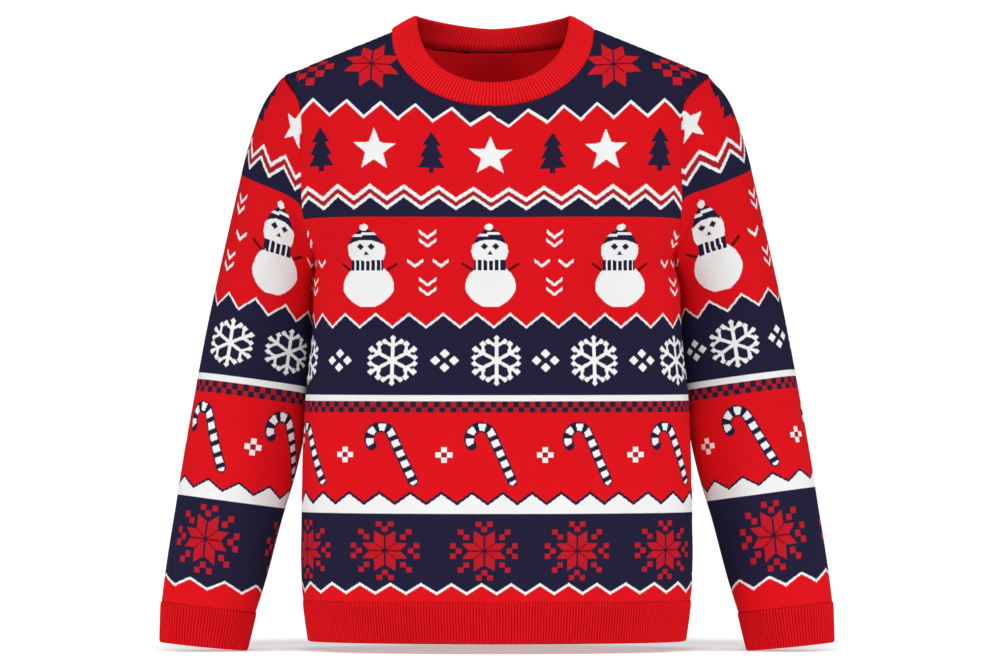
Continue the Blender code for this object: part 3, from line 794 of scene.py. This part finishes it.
# Small Vs in columns, lighter than the grooves between them, by a painted shade in the grooves and a painted
# highlight on the Vs. They are at their real size of about 2 mm, so from far off they only soften the colour,
# and close up they show which way the knit runs.
jacquard = yarn_material("combed_yarn_jacquard_stockinette", stockinette, (0.80, 1.14), 0.0006)
SEAM_ROLL = 0.0008
SEAM_REACH = 0.0032


def beside_seams(lattice, normals, from_seam):
    """Rolls the cloth out a little on both sides of a seam, which lies in the groove between."""
    t = from_seam / SEAM_REACH
    return lattice + normals * (SEAM_ROLL * t * np.exp(1 - t))[..., None]


CREASE_FADE = 0.020


def creased(lattice, normals, from_seam, side, troughs):
    """The cloth with soft troughs on one side, which fade out at its seams and where it turns away."""
    point = lattice[..., ::2]
    sunk = np.zeros(from_seam.shape)
    for start_x, start_z, end_x, end_z, half_width, depth in troughs:
        start = np.array([start_x, start_z])
        run = np.array([end_x, end_z]) - start
        share = np.clip((point - start) @ run / (run @ run), 0, 1)
        across = np.linalg.norm(point - start - share[..., None] * run, axis=-1)
        sunk += depth * np.exp(-((across / half_width) ** 2))
    sunk *= np.clip(2 * FORWARD[side] * normals[..., 1], 0, 1) * np.clip(from_seam / CREASE_FADE, 0, 1)
    return lattice - normals * sunk[..., None]


PANEL_CREASES = {  # x and z of the two ends of each crease, its half width and its depth
    "front": (
        (0.176, -0.178, 0.120, -0.236, 0.011, 0.0014),
        (0.188, -0.262, 0.132, -0.305, 0.015, 0.0010),
        (-0.172, -0.170, -0.108, -0.222, 0.010, 0.0012),
        (-0.190, -0.246, -0.150, -0.300, 0.013, 0.0011),
        (-0.186, -0.430, -0.128, -0.468, 0.018, 0.0009),
        (0.186, -0.505, 0.140, -0.535, 0.016, 0.0008),
    ),
    "back": (
        (0.174, -0.160, 0.104, -0.214, 0.012, 0.0016),
        (0.184, -0.236, 0.118, -0.262, 0.016, 0.0012),
        (-0.178, -0.176, -0.122, -0.248, 0.011, 0.0013),
        (-0.186, -0.290, -0.126, -0.322, 0.017, 0.0010),
        (0.090, -0.478, -0.030, -0.506, 0.020, 0.0009),
        (-0.118, -0.548, -0.176, -0.532, 0.015, 0.0008),
    ),
}

for side, way in (("front", 1), ("back", -1)):
    lattice, from_seam = panel_lattice(side)
    normals = sheet_normals(lattice, way)
    lattice = beside_seams(lattice, normals, from_seam)
    lattice = creased(lattice, normals, from_seam, side, PANEL_CREASES[side])
    lattice, kept = open_neck(lattice, side)
    panel = knitted(side + "_panel_jacquard", lattice[:, ::way], panel_chart(), kept[:, ::way])
    reverse = reverse_of(side + "_panel_reverse", lattice, way, kept)
    for piece in (panel, reverse):
        piece.data.materials.append(jacquard)
        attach(piece, "root")
        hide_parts(side + "_panel")


# ----------------------------------------------------------------------------------------------------------
# Sleeves: two tapered pieces of the same jacquard, knitted upwards from the cuff, closed by a seam under the
# arm and set into the armholes. Columns are counted from the outer line of the arm, towards the front.

SLEEVE = (  # outer_x, outer_z, inner_x, inner_z, middle_y, front, back
    (0.3722, -0.6323, 0.2677, -0.6449, 0.003, 0.034, 0.034),
    (0.3683, -0.6000, 0.2580, -0.6140, 0.007, 0.040, 0.040),
    (0.3569, -0.5250, 0.2388, -0.5417, 0.018, 0.047, 0.046),
    (0.3485, -0.4700, 0.2230, -0.4880, 0.028, 0.050, 0.049),
    (0.3380, -0.4096, 0.2110, -0.4280, 0.037, 0.053, 0.051),
    (0.3215, -0.3208, 0.2040, -0.3430, 0.041, 0.056, 0.054),
    (0.3040, -0.2431, 0.2015, -0.2860, 0.033, 0.056, 0.055),
    (0.2886, -0.1780, 0.2018, -0.2660, 0.019, 0.055, 0.055),
    (0.2753, -0.1254, 0.2020, -0.2575, 0.008, 0.053, 0.054),
    (0.2580, -0.0790, 0.2022, -0.2537, 0.002, 0.050, 0.051),
)
SLEEVE_COLUMNS = 92
SLEEVE_HEM = -4
SLEEVE_TOP = 288
SLEEVE_GAUGE = {  # row, and its distance from the cuff along the outer line
    "left": (
        (-4, 0.0000), (5.4, 0.0255), (11.4, 0.0378), (51.4, 0.1288), (64.5, 0.1525), (120, 0.2625),
        (159, 0.3414), (223, 0.4950), (242, 0.5428), (262, 0.5812), (288, 0.6320),
    ),
    "right": (
        (-4, 0.0000), (5.4, 0.0205), (11.4, 0.0320), (51.4, 0.1202), (64.5, 0.1440), (120, 0.2590),
        (159, 0.3371), (223, 0.4889), (242, 0.5339), (262, 0.5768), (288, 0.6320),
    ),
}
UNDERARM_CROWDING = 0.16  # the rows lie this much closer under the arm, above the elbow
CROWDED_FROM = 0.266
SPREAD = {  # row, and the share by which the stitches lie closer together there, going round the arm
    "left": ((182, 0.0), (200, -0.025), (216, -0.040), (232, 0.0), (262, 0.24), (288, 0.44)),
    "right": ((182, 0.0), (200, 0.025), (216, 0.053), (232, 0.157), (262, 0.40), (288, 0.62)),
}


def oval(section, angles):
    """Oval of a sleeve section: angle 0 is its end by the body, pi its outer end, with the front between."""
    outer_x, outer_z, inner_x, inner_z, middle_y, front, back = section
    middle = np.array([(outer_x + inner_x) / 2, middle_y, (outer_z + inner_z) / 2])
    reach = np.array([(inner_x - outer_x) / 2, 0.0, (inner_z - outer_z) / 2])
    depth = np.where(np.sin(angles) > 0, front, back)
    forward = np.stack([np.zeros_like(angles), -depth * np.sin(angles), np.zeros_like(angles)], axis=1)
    return middle + np.cos(angles)[:, None] * reach + forward


def armhole_line(shares, side):
    """Armhole seam over the front or back, at shares of its length over the front from the underarm up."""
    z = np.linspace(UNDERARM, ARMHOLE[-1][0], 801)
    along = lengths_along(on_torso(armhole_half_width(z), z, "front"))
    height = np.interp(shares * along[-1], along, z)
    return on_torso(armhole_half_width(height), height, side)


def sleeve_form(side):
    """Lines of the sleeve from the cuff to the armhole, spread from the underarm line to the outer line."""
    shares = np.linspace(0, 1, 181)
    halves = {}
    for half, turn in (("front", 1), ("back", -1)):
        rings = [oval(section, turn * math.pi * shares) for section in SLEEVE]
        halves[half] = np.array(rings + [armhole_line(shares, half)])
    middles = (halves["front"].mean(axis=1) + halves["back"].mean(axis=1)) / 2
    knots = lengths_along(middles)
    return shares, smooth_curve(np.linspace(0, knots[-1], 500), knots, halves[side])


def sleeve_half(hand, side):
    """Stitch corners of half a sleeve: rows rise from the cuff, columns run from the outer line inwards."""
    shares, form = sleeve_form(side)
    along = np.array([lengths_along(form[:, line]) for line in range(len(shares))])
    rows, gauge = np.array(SLEEVE_GAUGE[hand]).T
    outer = smooth_curve(np.arange(SLEEVE_HEM, SLEEVE_TOP + 1), rows, gauge)
    crowding = 1 - UNDERARM_CROWDING * (1 - shares)
    lattice = np.zeros((len(outer), SLEEVE_COLUMNS + 1, 3))
    from_seam = np.zeros((len(outer), SLEEVE_COLUMNS + 1))
    meeting = len(shares) - 1
    for row, length in enumerate(outer):
        climbed = min(length, CROWDED_FROM) + max(length - CROWDED_FROM, 0) * crowding
        line = [points_at(climbed[at], along[at], form[:, at]) for at in range(len(shares))]
        line = settled(np.array(line)[::-1], hand, -SEAM_LAP) * np.array([LEFT_OR_RIGHT[hand], 1, 1])
        over = (climbed > along[:, -1])[::-1]
        around = lengths_along(line)
        end = around[meeting]  # a row follows the armhole on to where the row below met it
        meeting = np.argmax(over) if over.any() else len(over) - 1
        place = np.minimum(np.arange(SLEEVE_COLUMNS + 1) * STITCH_WIDTH, end)
        to_armhole = (along[:, -1] - climbed)[::-1]
        from_seam[row] = np.maximum(np.interp(place, around, to_armhole), 0)
        lattice[row] = points_at(place, around, line)
    return lattice, from_seam


SLEEVE_PEAKS = {  # column of one peak of each zigzag and its period, counted inwards over the front
    "left": {"lower": (6.7, 17.4), "white": (17.5, 16.2), "thin": (18.2, 17.6), "double": (23.0, 18.9)},
    "right": {"lower": (4.3, 18.7), "white": (10.2, 16.8), "thin": (21.4, 16.4), "double": (26.2, 18.0)},
}
SLEEVE_MOTIFS = {  # the row of each band's motifs, and then their columns, counted in the same way
    "left": {
        "rosette": (30.2, 37.2, -12.0, -60.0),
        "cane": (86.1, 41.1, -9.0, -57.0),
        "cross": (83.9, 67.3, 15.4, -31.0, -82.0),
        "snowflake": (139.5, 44.1, -9.0, -62.0),
        "diamonds": (139.8, 67.0, 17.5, -36.0),
        "snowman": (182.0, 45.0, -23.0),
        "chevrons": (0.0, 11.0, 79.0, -57.0),
        "lone chevron": (192.8, 19.0, 2.0, 72.0, -49.0, -65.0),
        "tree": (262.6, 8.8, 77.0, -58.0),
        "star": (260.3, 44.6, -24.0),
    },
    "right": {
        "rosette": (31.0, 29.7, 82.3, -20.5, -68.0),
        "cane": (87.0, 23.7, 69.5, -25.0, -75.0),
        "cross": (84.3, 48.5, -1.0, -50.0),
        "snowflake": (139.3, 27.8, 60.9, -24.0, -76.0),
        "diamonds": (140.0, -6.0, -50.0),
        "snowman": (182.0, 45.3, -23.0),
        "chevrons": (0.0, 15.4, 76.0, -57.0),
        "lone chevron": (192.8, 21.1, 69.0, -49.0, -65.0),
        "tree": (262.6, 6.2, 77.0, -58.0),
        "star": (261.2, 48.0, -24.0),
    },
}
SNOWMAN_WIDE = {"left": (0.99, 0.89), "right": (0.93, 0.97)}  # beside the body's, and its head beside that
WIDE_TREE = 1.7  # the tree on the outer line of the arm is knitted wider
SLEEVE_LINE = 0.86  # zigzag lines beside those of the body


def sleeve_chart(hand):
    """Yarns of a sleeve; its columns run as on the body, from the wearer's right to left over the front."""
    chart = Chart(SLEEVE_COLUMNS, SLEEVE_TOP - SLEEVE_HEM)
    chart.up = chart.up + SLEEVE_HEM
    inwards = 1 if hand == "right" else -1
    rows, closer = np.array(SPREAD[hand]).T
    chart.across = chart.across * (1 + smooth_curve(chart.up, rows, closer))
    peak = {band: inwards * start for band, (start, _) in SLEEVE_PEAKS[hand].items()}
    period = {band: length for band, (_, length) in SLEEVE_PEAKS[hand].items()}
    draw_bands(chart, peak, period, SLEEVE_LINE)
    draw = {
        "cane": draw_cane,
        "cross": draw_cross,
        "snowflake": draw_snowflake,
        "diamonds": draw_four_diamonds,
        "star": draw_star,
        "lone chevron": draw_chevron,
    }
    for motif, (y, *columns) in SLEEVE_MOTIFS[hand].items():
        for x in columns:
            x = x * inwards
            if motif == "rosette":
                draw_rosette(chart, x, y, 5.7, 4.6, 8.0, 11.9)
                draw_square_ring(chart, x, y)
            elif motif == "snowman":
                draw_snowman(chart, x, y, *SNOWMAN_WIDE[hand])
            elif motif == "tree":
                draw_tree(chart, x, y, WIDE_TREE if 0 < inwards * (x - 0.1) < 20 else 1.0)
            elif motif == "chevrons":
                for row in CHEVRON_ROWS:
                    draw_chevron(chart, x, y + row)
            else:
                draw[motif](chart, x, y)
    return chart.yarn


SLEEVE_CREASES = {  # as for the panels, with x counted outwards
    "left": {
        "front": (
            (0.222, -0.222, 0.250, -0.268, 0.009, 0.0016),
            (0.236, -0.318, 0.276, -0.346, 0.013, 0.0012),
            (0.252, -0.404, 0.304, -0.414, 0.011, 0.0015),
            (0.262, -0.462, 0.300, -0.494, 0.014, 0.0012),
            (0.290, -0.578, 0.330, -0.604, 0.010, 0.0009),
        ),
        "back": (
            (0.230, -0.206, 0.262, -0.246, 0.010, 0.0016),
            (0.262, -0.352, 0.300, -0.338, 0.012, 0.0013),
            (0.258, -0.436, 0.312, -0.446, 0.012, 0.0014),
            (0.296, -0.546, 0.336, -0.526, 0.011, 0.0010),
        ),
    },
    "right": {
        "front": (
            (0.220, -0.234, 0.256, -0.288, 0.010, 0.0015),
            (0.242, -0.340, 0.290, -0.352, 0.012, 0.0013),
            (0.250, -0.392, 0.292, -0.432, 0.013, 0.0013),
            (0.268, -0.498, 0.318, -0.506, 0.012, 0.0012),
            (0.288, -0.596, 0.322, -0.584, 0.010, 0.0009),
        ),
        "back": (
            (0.228, -0.214, 0.266, -0.262, 0.010, 0.0015),
            (0.256, -0.374, 0.306, -0.392, 0.013, 0.0015),
            (0.264, -0.470, 0.310, -0.452, 0.011, 0.0012),
            (0.292, -0.566, 0.334, -0.580, 0.012, 0.0009),
        ),
    },
}
for hand, flip in LEFT_OR_RIGHT.items():
    halves = zip(sleeve_half(hand, "back"), sleeve_half(hand, "front"))
    lattice, from_seam = (np.concatenate([back[:, :0:-1], front], axis=1) for back, front in halves)
    normals = sheet_normals(lattice, -1)
    lattice = beside_seams(lattice, normals, from_seam)
    for side, troughs in SLEEVE_CREASES[hand].items():
        lattice = creased(lattice, normals, from_seam, side, troughs)
    lattice = lattice * np.array([flip, 1, 1])
    if flip > 0:
        lattice = lattice[:, ::-1]
    chart = sleeve_chart(hand)
    kept = np.ones(chart.shape, bool)
    sleeve = knitted(hand + "_sleeve_jacquard", lattice, chart, kept)
    reverse = reverse_of(hand + "_sleeve_reverse", lattice, 1, kept)
    for piece in (sleeve, reverse):
        piece.data.materials.append(jacquard)
        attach(piece, "root")
        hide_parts(hand + "_sleeve")


# ----------------------------------------------------------------------------------------------------------
# Hem ribs: bands of one-by-one rib in red yarn, knitted on below each panel on finer needles so that they
# draw in. Their lower edge is a soft tubular start, and their ends are linked at the sides.

HEM_HEIGHT = -0.6770
HEM_RIBS = 160
RIB_RELIEF = 0.0014
RIB_SINK = 0.15  # share of the relief by which the grooves lie below the form
POINTS_TO_A_RIB = 6


def spread_evenly(line, count, closed):
    """Points at even distances along a line, which a closed line joins up."""
    line = np.concatenate([line, line[:1]]) if closed else line
    along = lengths_along(line)
    at = np.linspace(0, along[-1], count + 1)
    return points_at(at[:-1] if closed else at, along, line)


def level_normals(ring, closed):
    """Outward directions of a nearly level ring, in its own plane."""
    if closed:
        along = np.roll(ring, -1, axis=0) - np.roll(ring, 1, axis=0)
    else:
        along = np.gradient(ring, axis=0)
    normals = np.cross(along, np.array([0.0, 0.0, 1.0]))
    normals /= np.linalg.norm(normals, axis=1, keepdims=True)
    outward = np.sum(normals * (ring - ring.mean(axis=0))) > 0
    return normals if outward else -normals


def rib_profile(count):
    """Height of the knitted columns of a rib over the grooves between them."""
    return np.sqrt(np.sin(math.pi * (np.arange(count) % POINTS_TO_A_RIB) / POINTS_TO_A_RIB))


def with_ribs(ring, normals, out, ribbing):
    """A ring moved outwards by its place in the band's profile and by the height of its ribs."""
    lift = out + RIB_RELIEF * ribbing * (rib_profile(len(ring)) - RIB_SINK)
    return ring + normals * lift[:, None]


def ribbed_band(name, rings, rows, closed, yarn=RED):
    """Band of rib as a closed skin, whose rings run in order along its outer and back up its inner face."""
    rings = np.array(rings)
    stations, count = rings.shape[:2]
    faces, places = [], []
    for station in range(stations):
        following = (station + 1) % stations
        for at in range(count if closed else count - 1):
            beyond = (at + 1) % count
            here, there = station * count, following * count
            faces.append([here + at, here + beyond, there + beyond, there + at])
            left, right = at / POINTS_TO_A_RIB, (at + 1) / POINTS_TO_A_RIB
            low, high = rows[station], rows[station + 1]
            places.append([(left, low), (right, low), (right, high), (left, high)])
    if not closed:
        for at in (0, count - 1):
            faces.append([station * count + at for station in range(stations)])
            places.append([(at / POINTS_TO_A_RIB, rows[station]) for station in range(stations)])
    size = max(count / POINTS_TO_A_RIB, max(rows)) + 2
    return mesh_piece(name, rings.reshape(-1, 3), faces, places, [yarn] * len(faces), size)


def hem_ring(share, side, ribs):
    """Ring of the hem rib at a share of the way down it."""
    z = RIB_TOP + share * (HEM_HEIGHT - RIB_TOP)
    turn = np.linspace(-math.pi / 2, math.pi / 2, 801)
    x = torso("half_width", z) * np.sin(turn)
    return spread_evenly(on_torso(x, np.full(len(turn), z), side), ribs * POINTS_TO_A_RIB, False)


BAND_PROFILE = (  # share of the way down, how far out, how deep the ribs are
    (0.000, -0.0006, 0.35),
    (0.025, 0.0000, 0.85),
    (0.120, 0.0002, 1.00),
    (0.300, 0.0002, 1.00),
    (0.500, 0.0001, 1.00),
    (0.700, 0.0000, 1.00),
    (0.860, -0.0001, 1.00),
    (0.950, -0.0002, 0.95),
    (0.985, -0.0006, 0.80),
    (1.000, -0.0012, 0.50),
    (0.985, -0.0021, 0.30),
    (0.900, -0.0025, 0.30),
    (0.500, -0.0025, 0.30),
    (0.000, -0.0025, 0.30),
)


def profile_rows(profile, length):
    """Row numbers at the stations of a band's profile and back at its first station."""
    place = np.array([(share * length, out) for share, out, _ in profile])
    return np.concatenate([lengths_along(place), [lengths_along(place)[-1] + 0.002]]) / ROW_HEIGHT


def one_by_one(sums, across, up):
    """One standing column of stitches to a rib, its loops one over another, and a deep groove beside it."""
    crest = sums("POWER", sums("SINE", sums("MULTIPLY", across, math.pi)), 0.8)
    loops = sums("COSINE", sums("MULTIPLY", up, 2 * math.pi))
    return sums("MULTIPLY", crest, sums("MULTIPLY_ADD", loops, 0.06, 0.94))


# Fine upright stripes: a painted highlight on the crests and a painted shade in the deep grooves between
# them, over the ribs' own relief.
rib = yarn_material("combed_yarn_one_by_one_rib", one_by_one, (0.45, 1.05), 0.0004)
for side in ("front", "back"):
    rings = []
    for share, out, ribbing in BAND_PROFILE:
        ring = hem_ring(share, side, HEM_RIBS)
        rings.append(with_ribs(ring, level_normals(ring, False), out, ribbing))
    band = ribbed_band(side + "_hem_rib_knit", rings, profile_rows(BAND_PROFILE, RIB_TOP - HEM_HEIGHT), False)
    band.data.materials.append(rib)
    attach(band, "root")
    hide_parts(side + "_hem_rib")


# ----------------------------------------------------------------------------------------------------------
# Cuffs: tubes of the same rib, linked to the narrowed ends of the sleeves. They stand a little proud of the
# sleeve, because their rib is thicker than the jacquard.

CUFF = (  # outer_x, outer_z, inner_x, inner_z, middle_y, front, back
    (0.3722, -0.6326, 0.2678, -0.6452, 0.003, 0.034, 0.034),
    (0.3740, -0.6782, 0.2775, -0.6876, 0.000, 0.030, 0.030),
)
CUFF_RIBS = 78
CUFF_LENGTH = 0.045
for hand, flip in LEFT_OR_RIGHT.items():
    rings = []
    for share, out, ribbing in BAND_PROFILE:
        section = np.array(CUFF[0]) + share * (np.array(CUFF[1]) - np.array(CUFF[0]))
        ring = oval(section, np.linspace(0, 2 * math.pi, 721)[:-1])
        ring = spread_evenly(ring, CUFF_RIBS * POINTS_TO_A_RIB, True)
        rings.append(with_ribs(ring, level_normals(ring, True), out, ribbing) * np.array([flip, 1, 1]))
    cuff = ribbed_band(hand + "_cuff_rib_knit", rings, profile_rows(BAND_PROFILE, CUFF_LENGTH), True)
    cuff.data.materials.append(rib)
    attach(cuff, "root")
    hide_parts(hand + "_cuff")


# ----------------------------------------------------------------------------------------------------------
# Neckband: a strip of the same rib folded double along its upper edge and linked round the neck, so that its
# columns fan out from the fold. The fold is rounded, and the seam below it lies in a shallow groove.

BAND_HALF_WIDTH = 0.0838
BAND_SIDE_HEIGHT = 0.0160
BAND_DROP = {"front": 0.0755, "back": 0.0115}
BAND_POWERS = {"front": (2.2, 1 / 2.2), "back": (1.5, 1.0)}
BAND_DEPTH = {"front": 0.0760, "back": 0.0570}
BAND_RIBS = 160
BAND_LENGTH = 0.031  # from the seam to the fold
NECK_PROFILE = (  # share of the way from the seam to the fold, how far out, how deep the ribs are
    (0.000, 0.0000, 0.30),
    (0.030, 0.0010, 0.80),
    (0.120, 0.0018, 1.00),
    (0.300, 0.0020, 1.00),
    (0.500, 0.0021, 1.00),
    (0.700, 0.0020, 1.00),
    (0.850, 0.0017, 1.00),
    (0.950, 0.0011, 0.90),
    (1.000, 0.0002, 0.70),
    (0.990, -0.0010, 0.60),
    (0.930, -0.0018, 0.70),
    (0.700, -0.0026, 0.80),
    (0.350, -0.0028, 0.80),
    (0.000, -0.0027, 0.50),
)


def neck_quarter(side):
    """Seam and fold of the neckband from the centre line to the shoulder."""
    angle = np.linspace(0, math.pi / 2, 121)
    x = NECK_HALF_WIDTH * np.sin(angle)
    seam = on_torso(x, neck_height(x, side), side)
    share_power, drop_power = BAND_POWERS[side]
    height = BAND_SIDE_HEIGHT - BAND_DROP[side] * (1 - np.sin(angle) ** share_power) ** drop_power
    depth = FORWARD[side] * BAND_DEPTH[side] * np.cos(angle)
    return seam, np.stack([BAND_HALF_WIDTH * np.sin(angle), depth, height], axis=1)


def neck_loops():
    """The whole seam and the whole fold, anticlockwise from above, starting at the front."""
    loops = []
    for front, back in zip(neck_quarter("front"), neck_quarter("back")):
        shoulder = (front[-1:] + back[-1:]) / 2
        right = np.concatenate([front[:-1], shoulder, back[-2::-1]])
        loops.append(np.concatenate([right, right[-2:0:-1] * np.array([-1, 1, 1])]))
    return loops


seam, fold = (loop + np.array([NECK_SHIFT, 0, 0]) for loop in neck_loops())
middle = (seam + fold) / 2
around = lengths_along(np.concatenate([middle, middle[:1]]))
at = np.linspace(0, around[-1], BAND_RIBS * POINTS_TO_A_RIB + 1)[:-1]
seam, fold = (points_at(at, around, np.concatenate([loop, loop[:1]])) for loop in (seam, fold))
outward = np.cross(np.roll(seam, -3, axis=0) - np.roll(seam, 3, axis=0), fold - seam)
outward /= np.linalg.norm(outward, axis=1, keepdims=True)
rings = []
for share, out, ribbing in NECK_PROFILE:
    rings.append(with_ribs(seam + share * (fold - seam), outward, out, ribbing))
# The neckband is the body's red yarn, knitted in a lighter red as a painted highlight on the collar.
neckband = ribbed_band("neckband_rib_knit", rings, profile_rows(NECK_PROFILE, BAND_LENGTH), True, NECKBAND_PAINTED_LIGHT_RED)
neckband.data.materials.append(rib)
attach(neckband, "root")
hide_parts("neckband")


# ----------------------------------------------------------------------------------------------------------
# Studio: a pale floor just under the cuffs, a white room, and a camera level with the middle of the jumper.

floor_height = cad_box[0][2] - 0.0005
bpy.ops.mesh.primitive_plane_add(size=2.6, location=(0, 0, floor_height))
floor = bpy.context.object
floor.name = "studio_floor"
# Matt paint that glows a little, and more so away from the jumper, so that the floor's edge melts into the
# white of the room and only the shadow under the hem is left to see.
paint = bpy.data.materials.new("matt_white_floor_paint")
paint.use_nodes = True
coat = paint.node_tree.nodes["Principled BSDF"]
coat.inputs["Base Color"].default_value = (0.9, 0.9, 0.9, 1)
coat.inputs["Roughness"].default_value = 0.9
coat.inputs["Emission Color"].default_value = (1, 1, 1, 1)
board = paint.node_tree
place = node(board, "ShaderNodeTexCoord").outputs["Object"]
outwards = node(board, "ShaderNodeVectorMath", {0: place, 1: (2.4, 1.8, 0.0)}, operation="MULTIPLY")
far = node(board, "ShaderNodeVectorMath", {0: outwards.outputs[0]}, operation="LENGTH").outputs["Value"]
fade = {"Value": far, "From Min": 0.75, "From Max": 1.1, "To Min": 0.44, "To Max": 0.66}
glow = node(board, "ShaderNodeMapRange", fade)
board.links.new(glow.outputs[0], coat.inputs["Emission Strength"])
floor.data.materials.append(paint)

world = bpy.data.worlds.new("white_room")
bpy.context.scene.world = world
world.use_nodes = True
room = world.node_tree
background = room.nodes["Background"]
background.inputs["Color"].default_value = (1, 1, 1, 1)
seen = node(room, "ShaderNodeLightPath").outputs["Is Camera Ray"]
strength = node(room, "ShaderNodeMapRange", {"Value": seen, "To Min": 0.03, "To Max": 1.05})
room.links.new(strength.outputs[0], background.inputs["Strength"])


def soft_light(name, place, target, size, power):
    """Round softbox that faces a target."""
    lamp = bpy.data.lights.new(name, "AREA")
    lamp.shape = "DISK"
    lamp.size = size
    lamp.energy = power
    stand = bpy.data.objects.new(name, lamp)
    bpy.context.scene.collection.objects.link(stand)
    stand.location = place
    stand.rotation_euler = (Vector(target) - Vector(place)).to_track_quat("-Z", "Y").to_euler()


soft_light("high_softbox", (0.0, -1.7, 2.8), (0, 0, -0.20), 1.4, 45)
soft_light("front_softbox", (0.0, -2.6, 0.4), (0, 0, -0.30), 1.2, 12)
soft_light("left_softbox", (3.4, -1.5, 1.7), (0.2, 0, -0.30), 1.2, 78)
soft_light("right_softbox", (-3.4, -1.5, 1.7), (-0.2, 0, -0.30), 1.2, 78)

camera_data = bpy.data.cameras.new("camera")
camera_data.lens = 289.6
camera_data.sensor_width = 36
camera = bpy.data.objects.new("camera", camera_data)
bpy.context.scene.collection.objects.link(camera)
camera.location = (0.0078, -9.0, -0.3385)
camera.rotation_euler = (math.pi / 2, 0, 0)
bpy.context.scene.camera = camera
bpy.context.scene.view_settings.view_transform = "Standard"
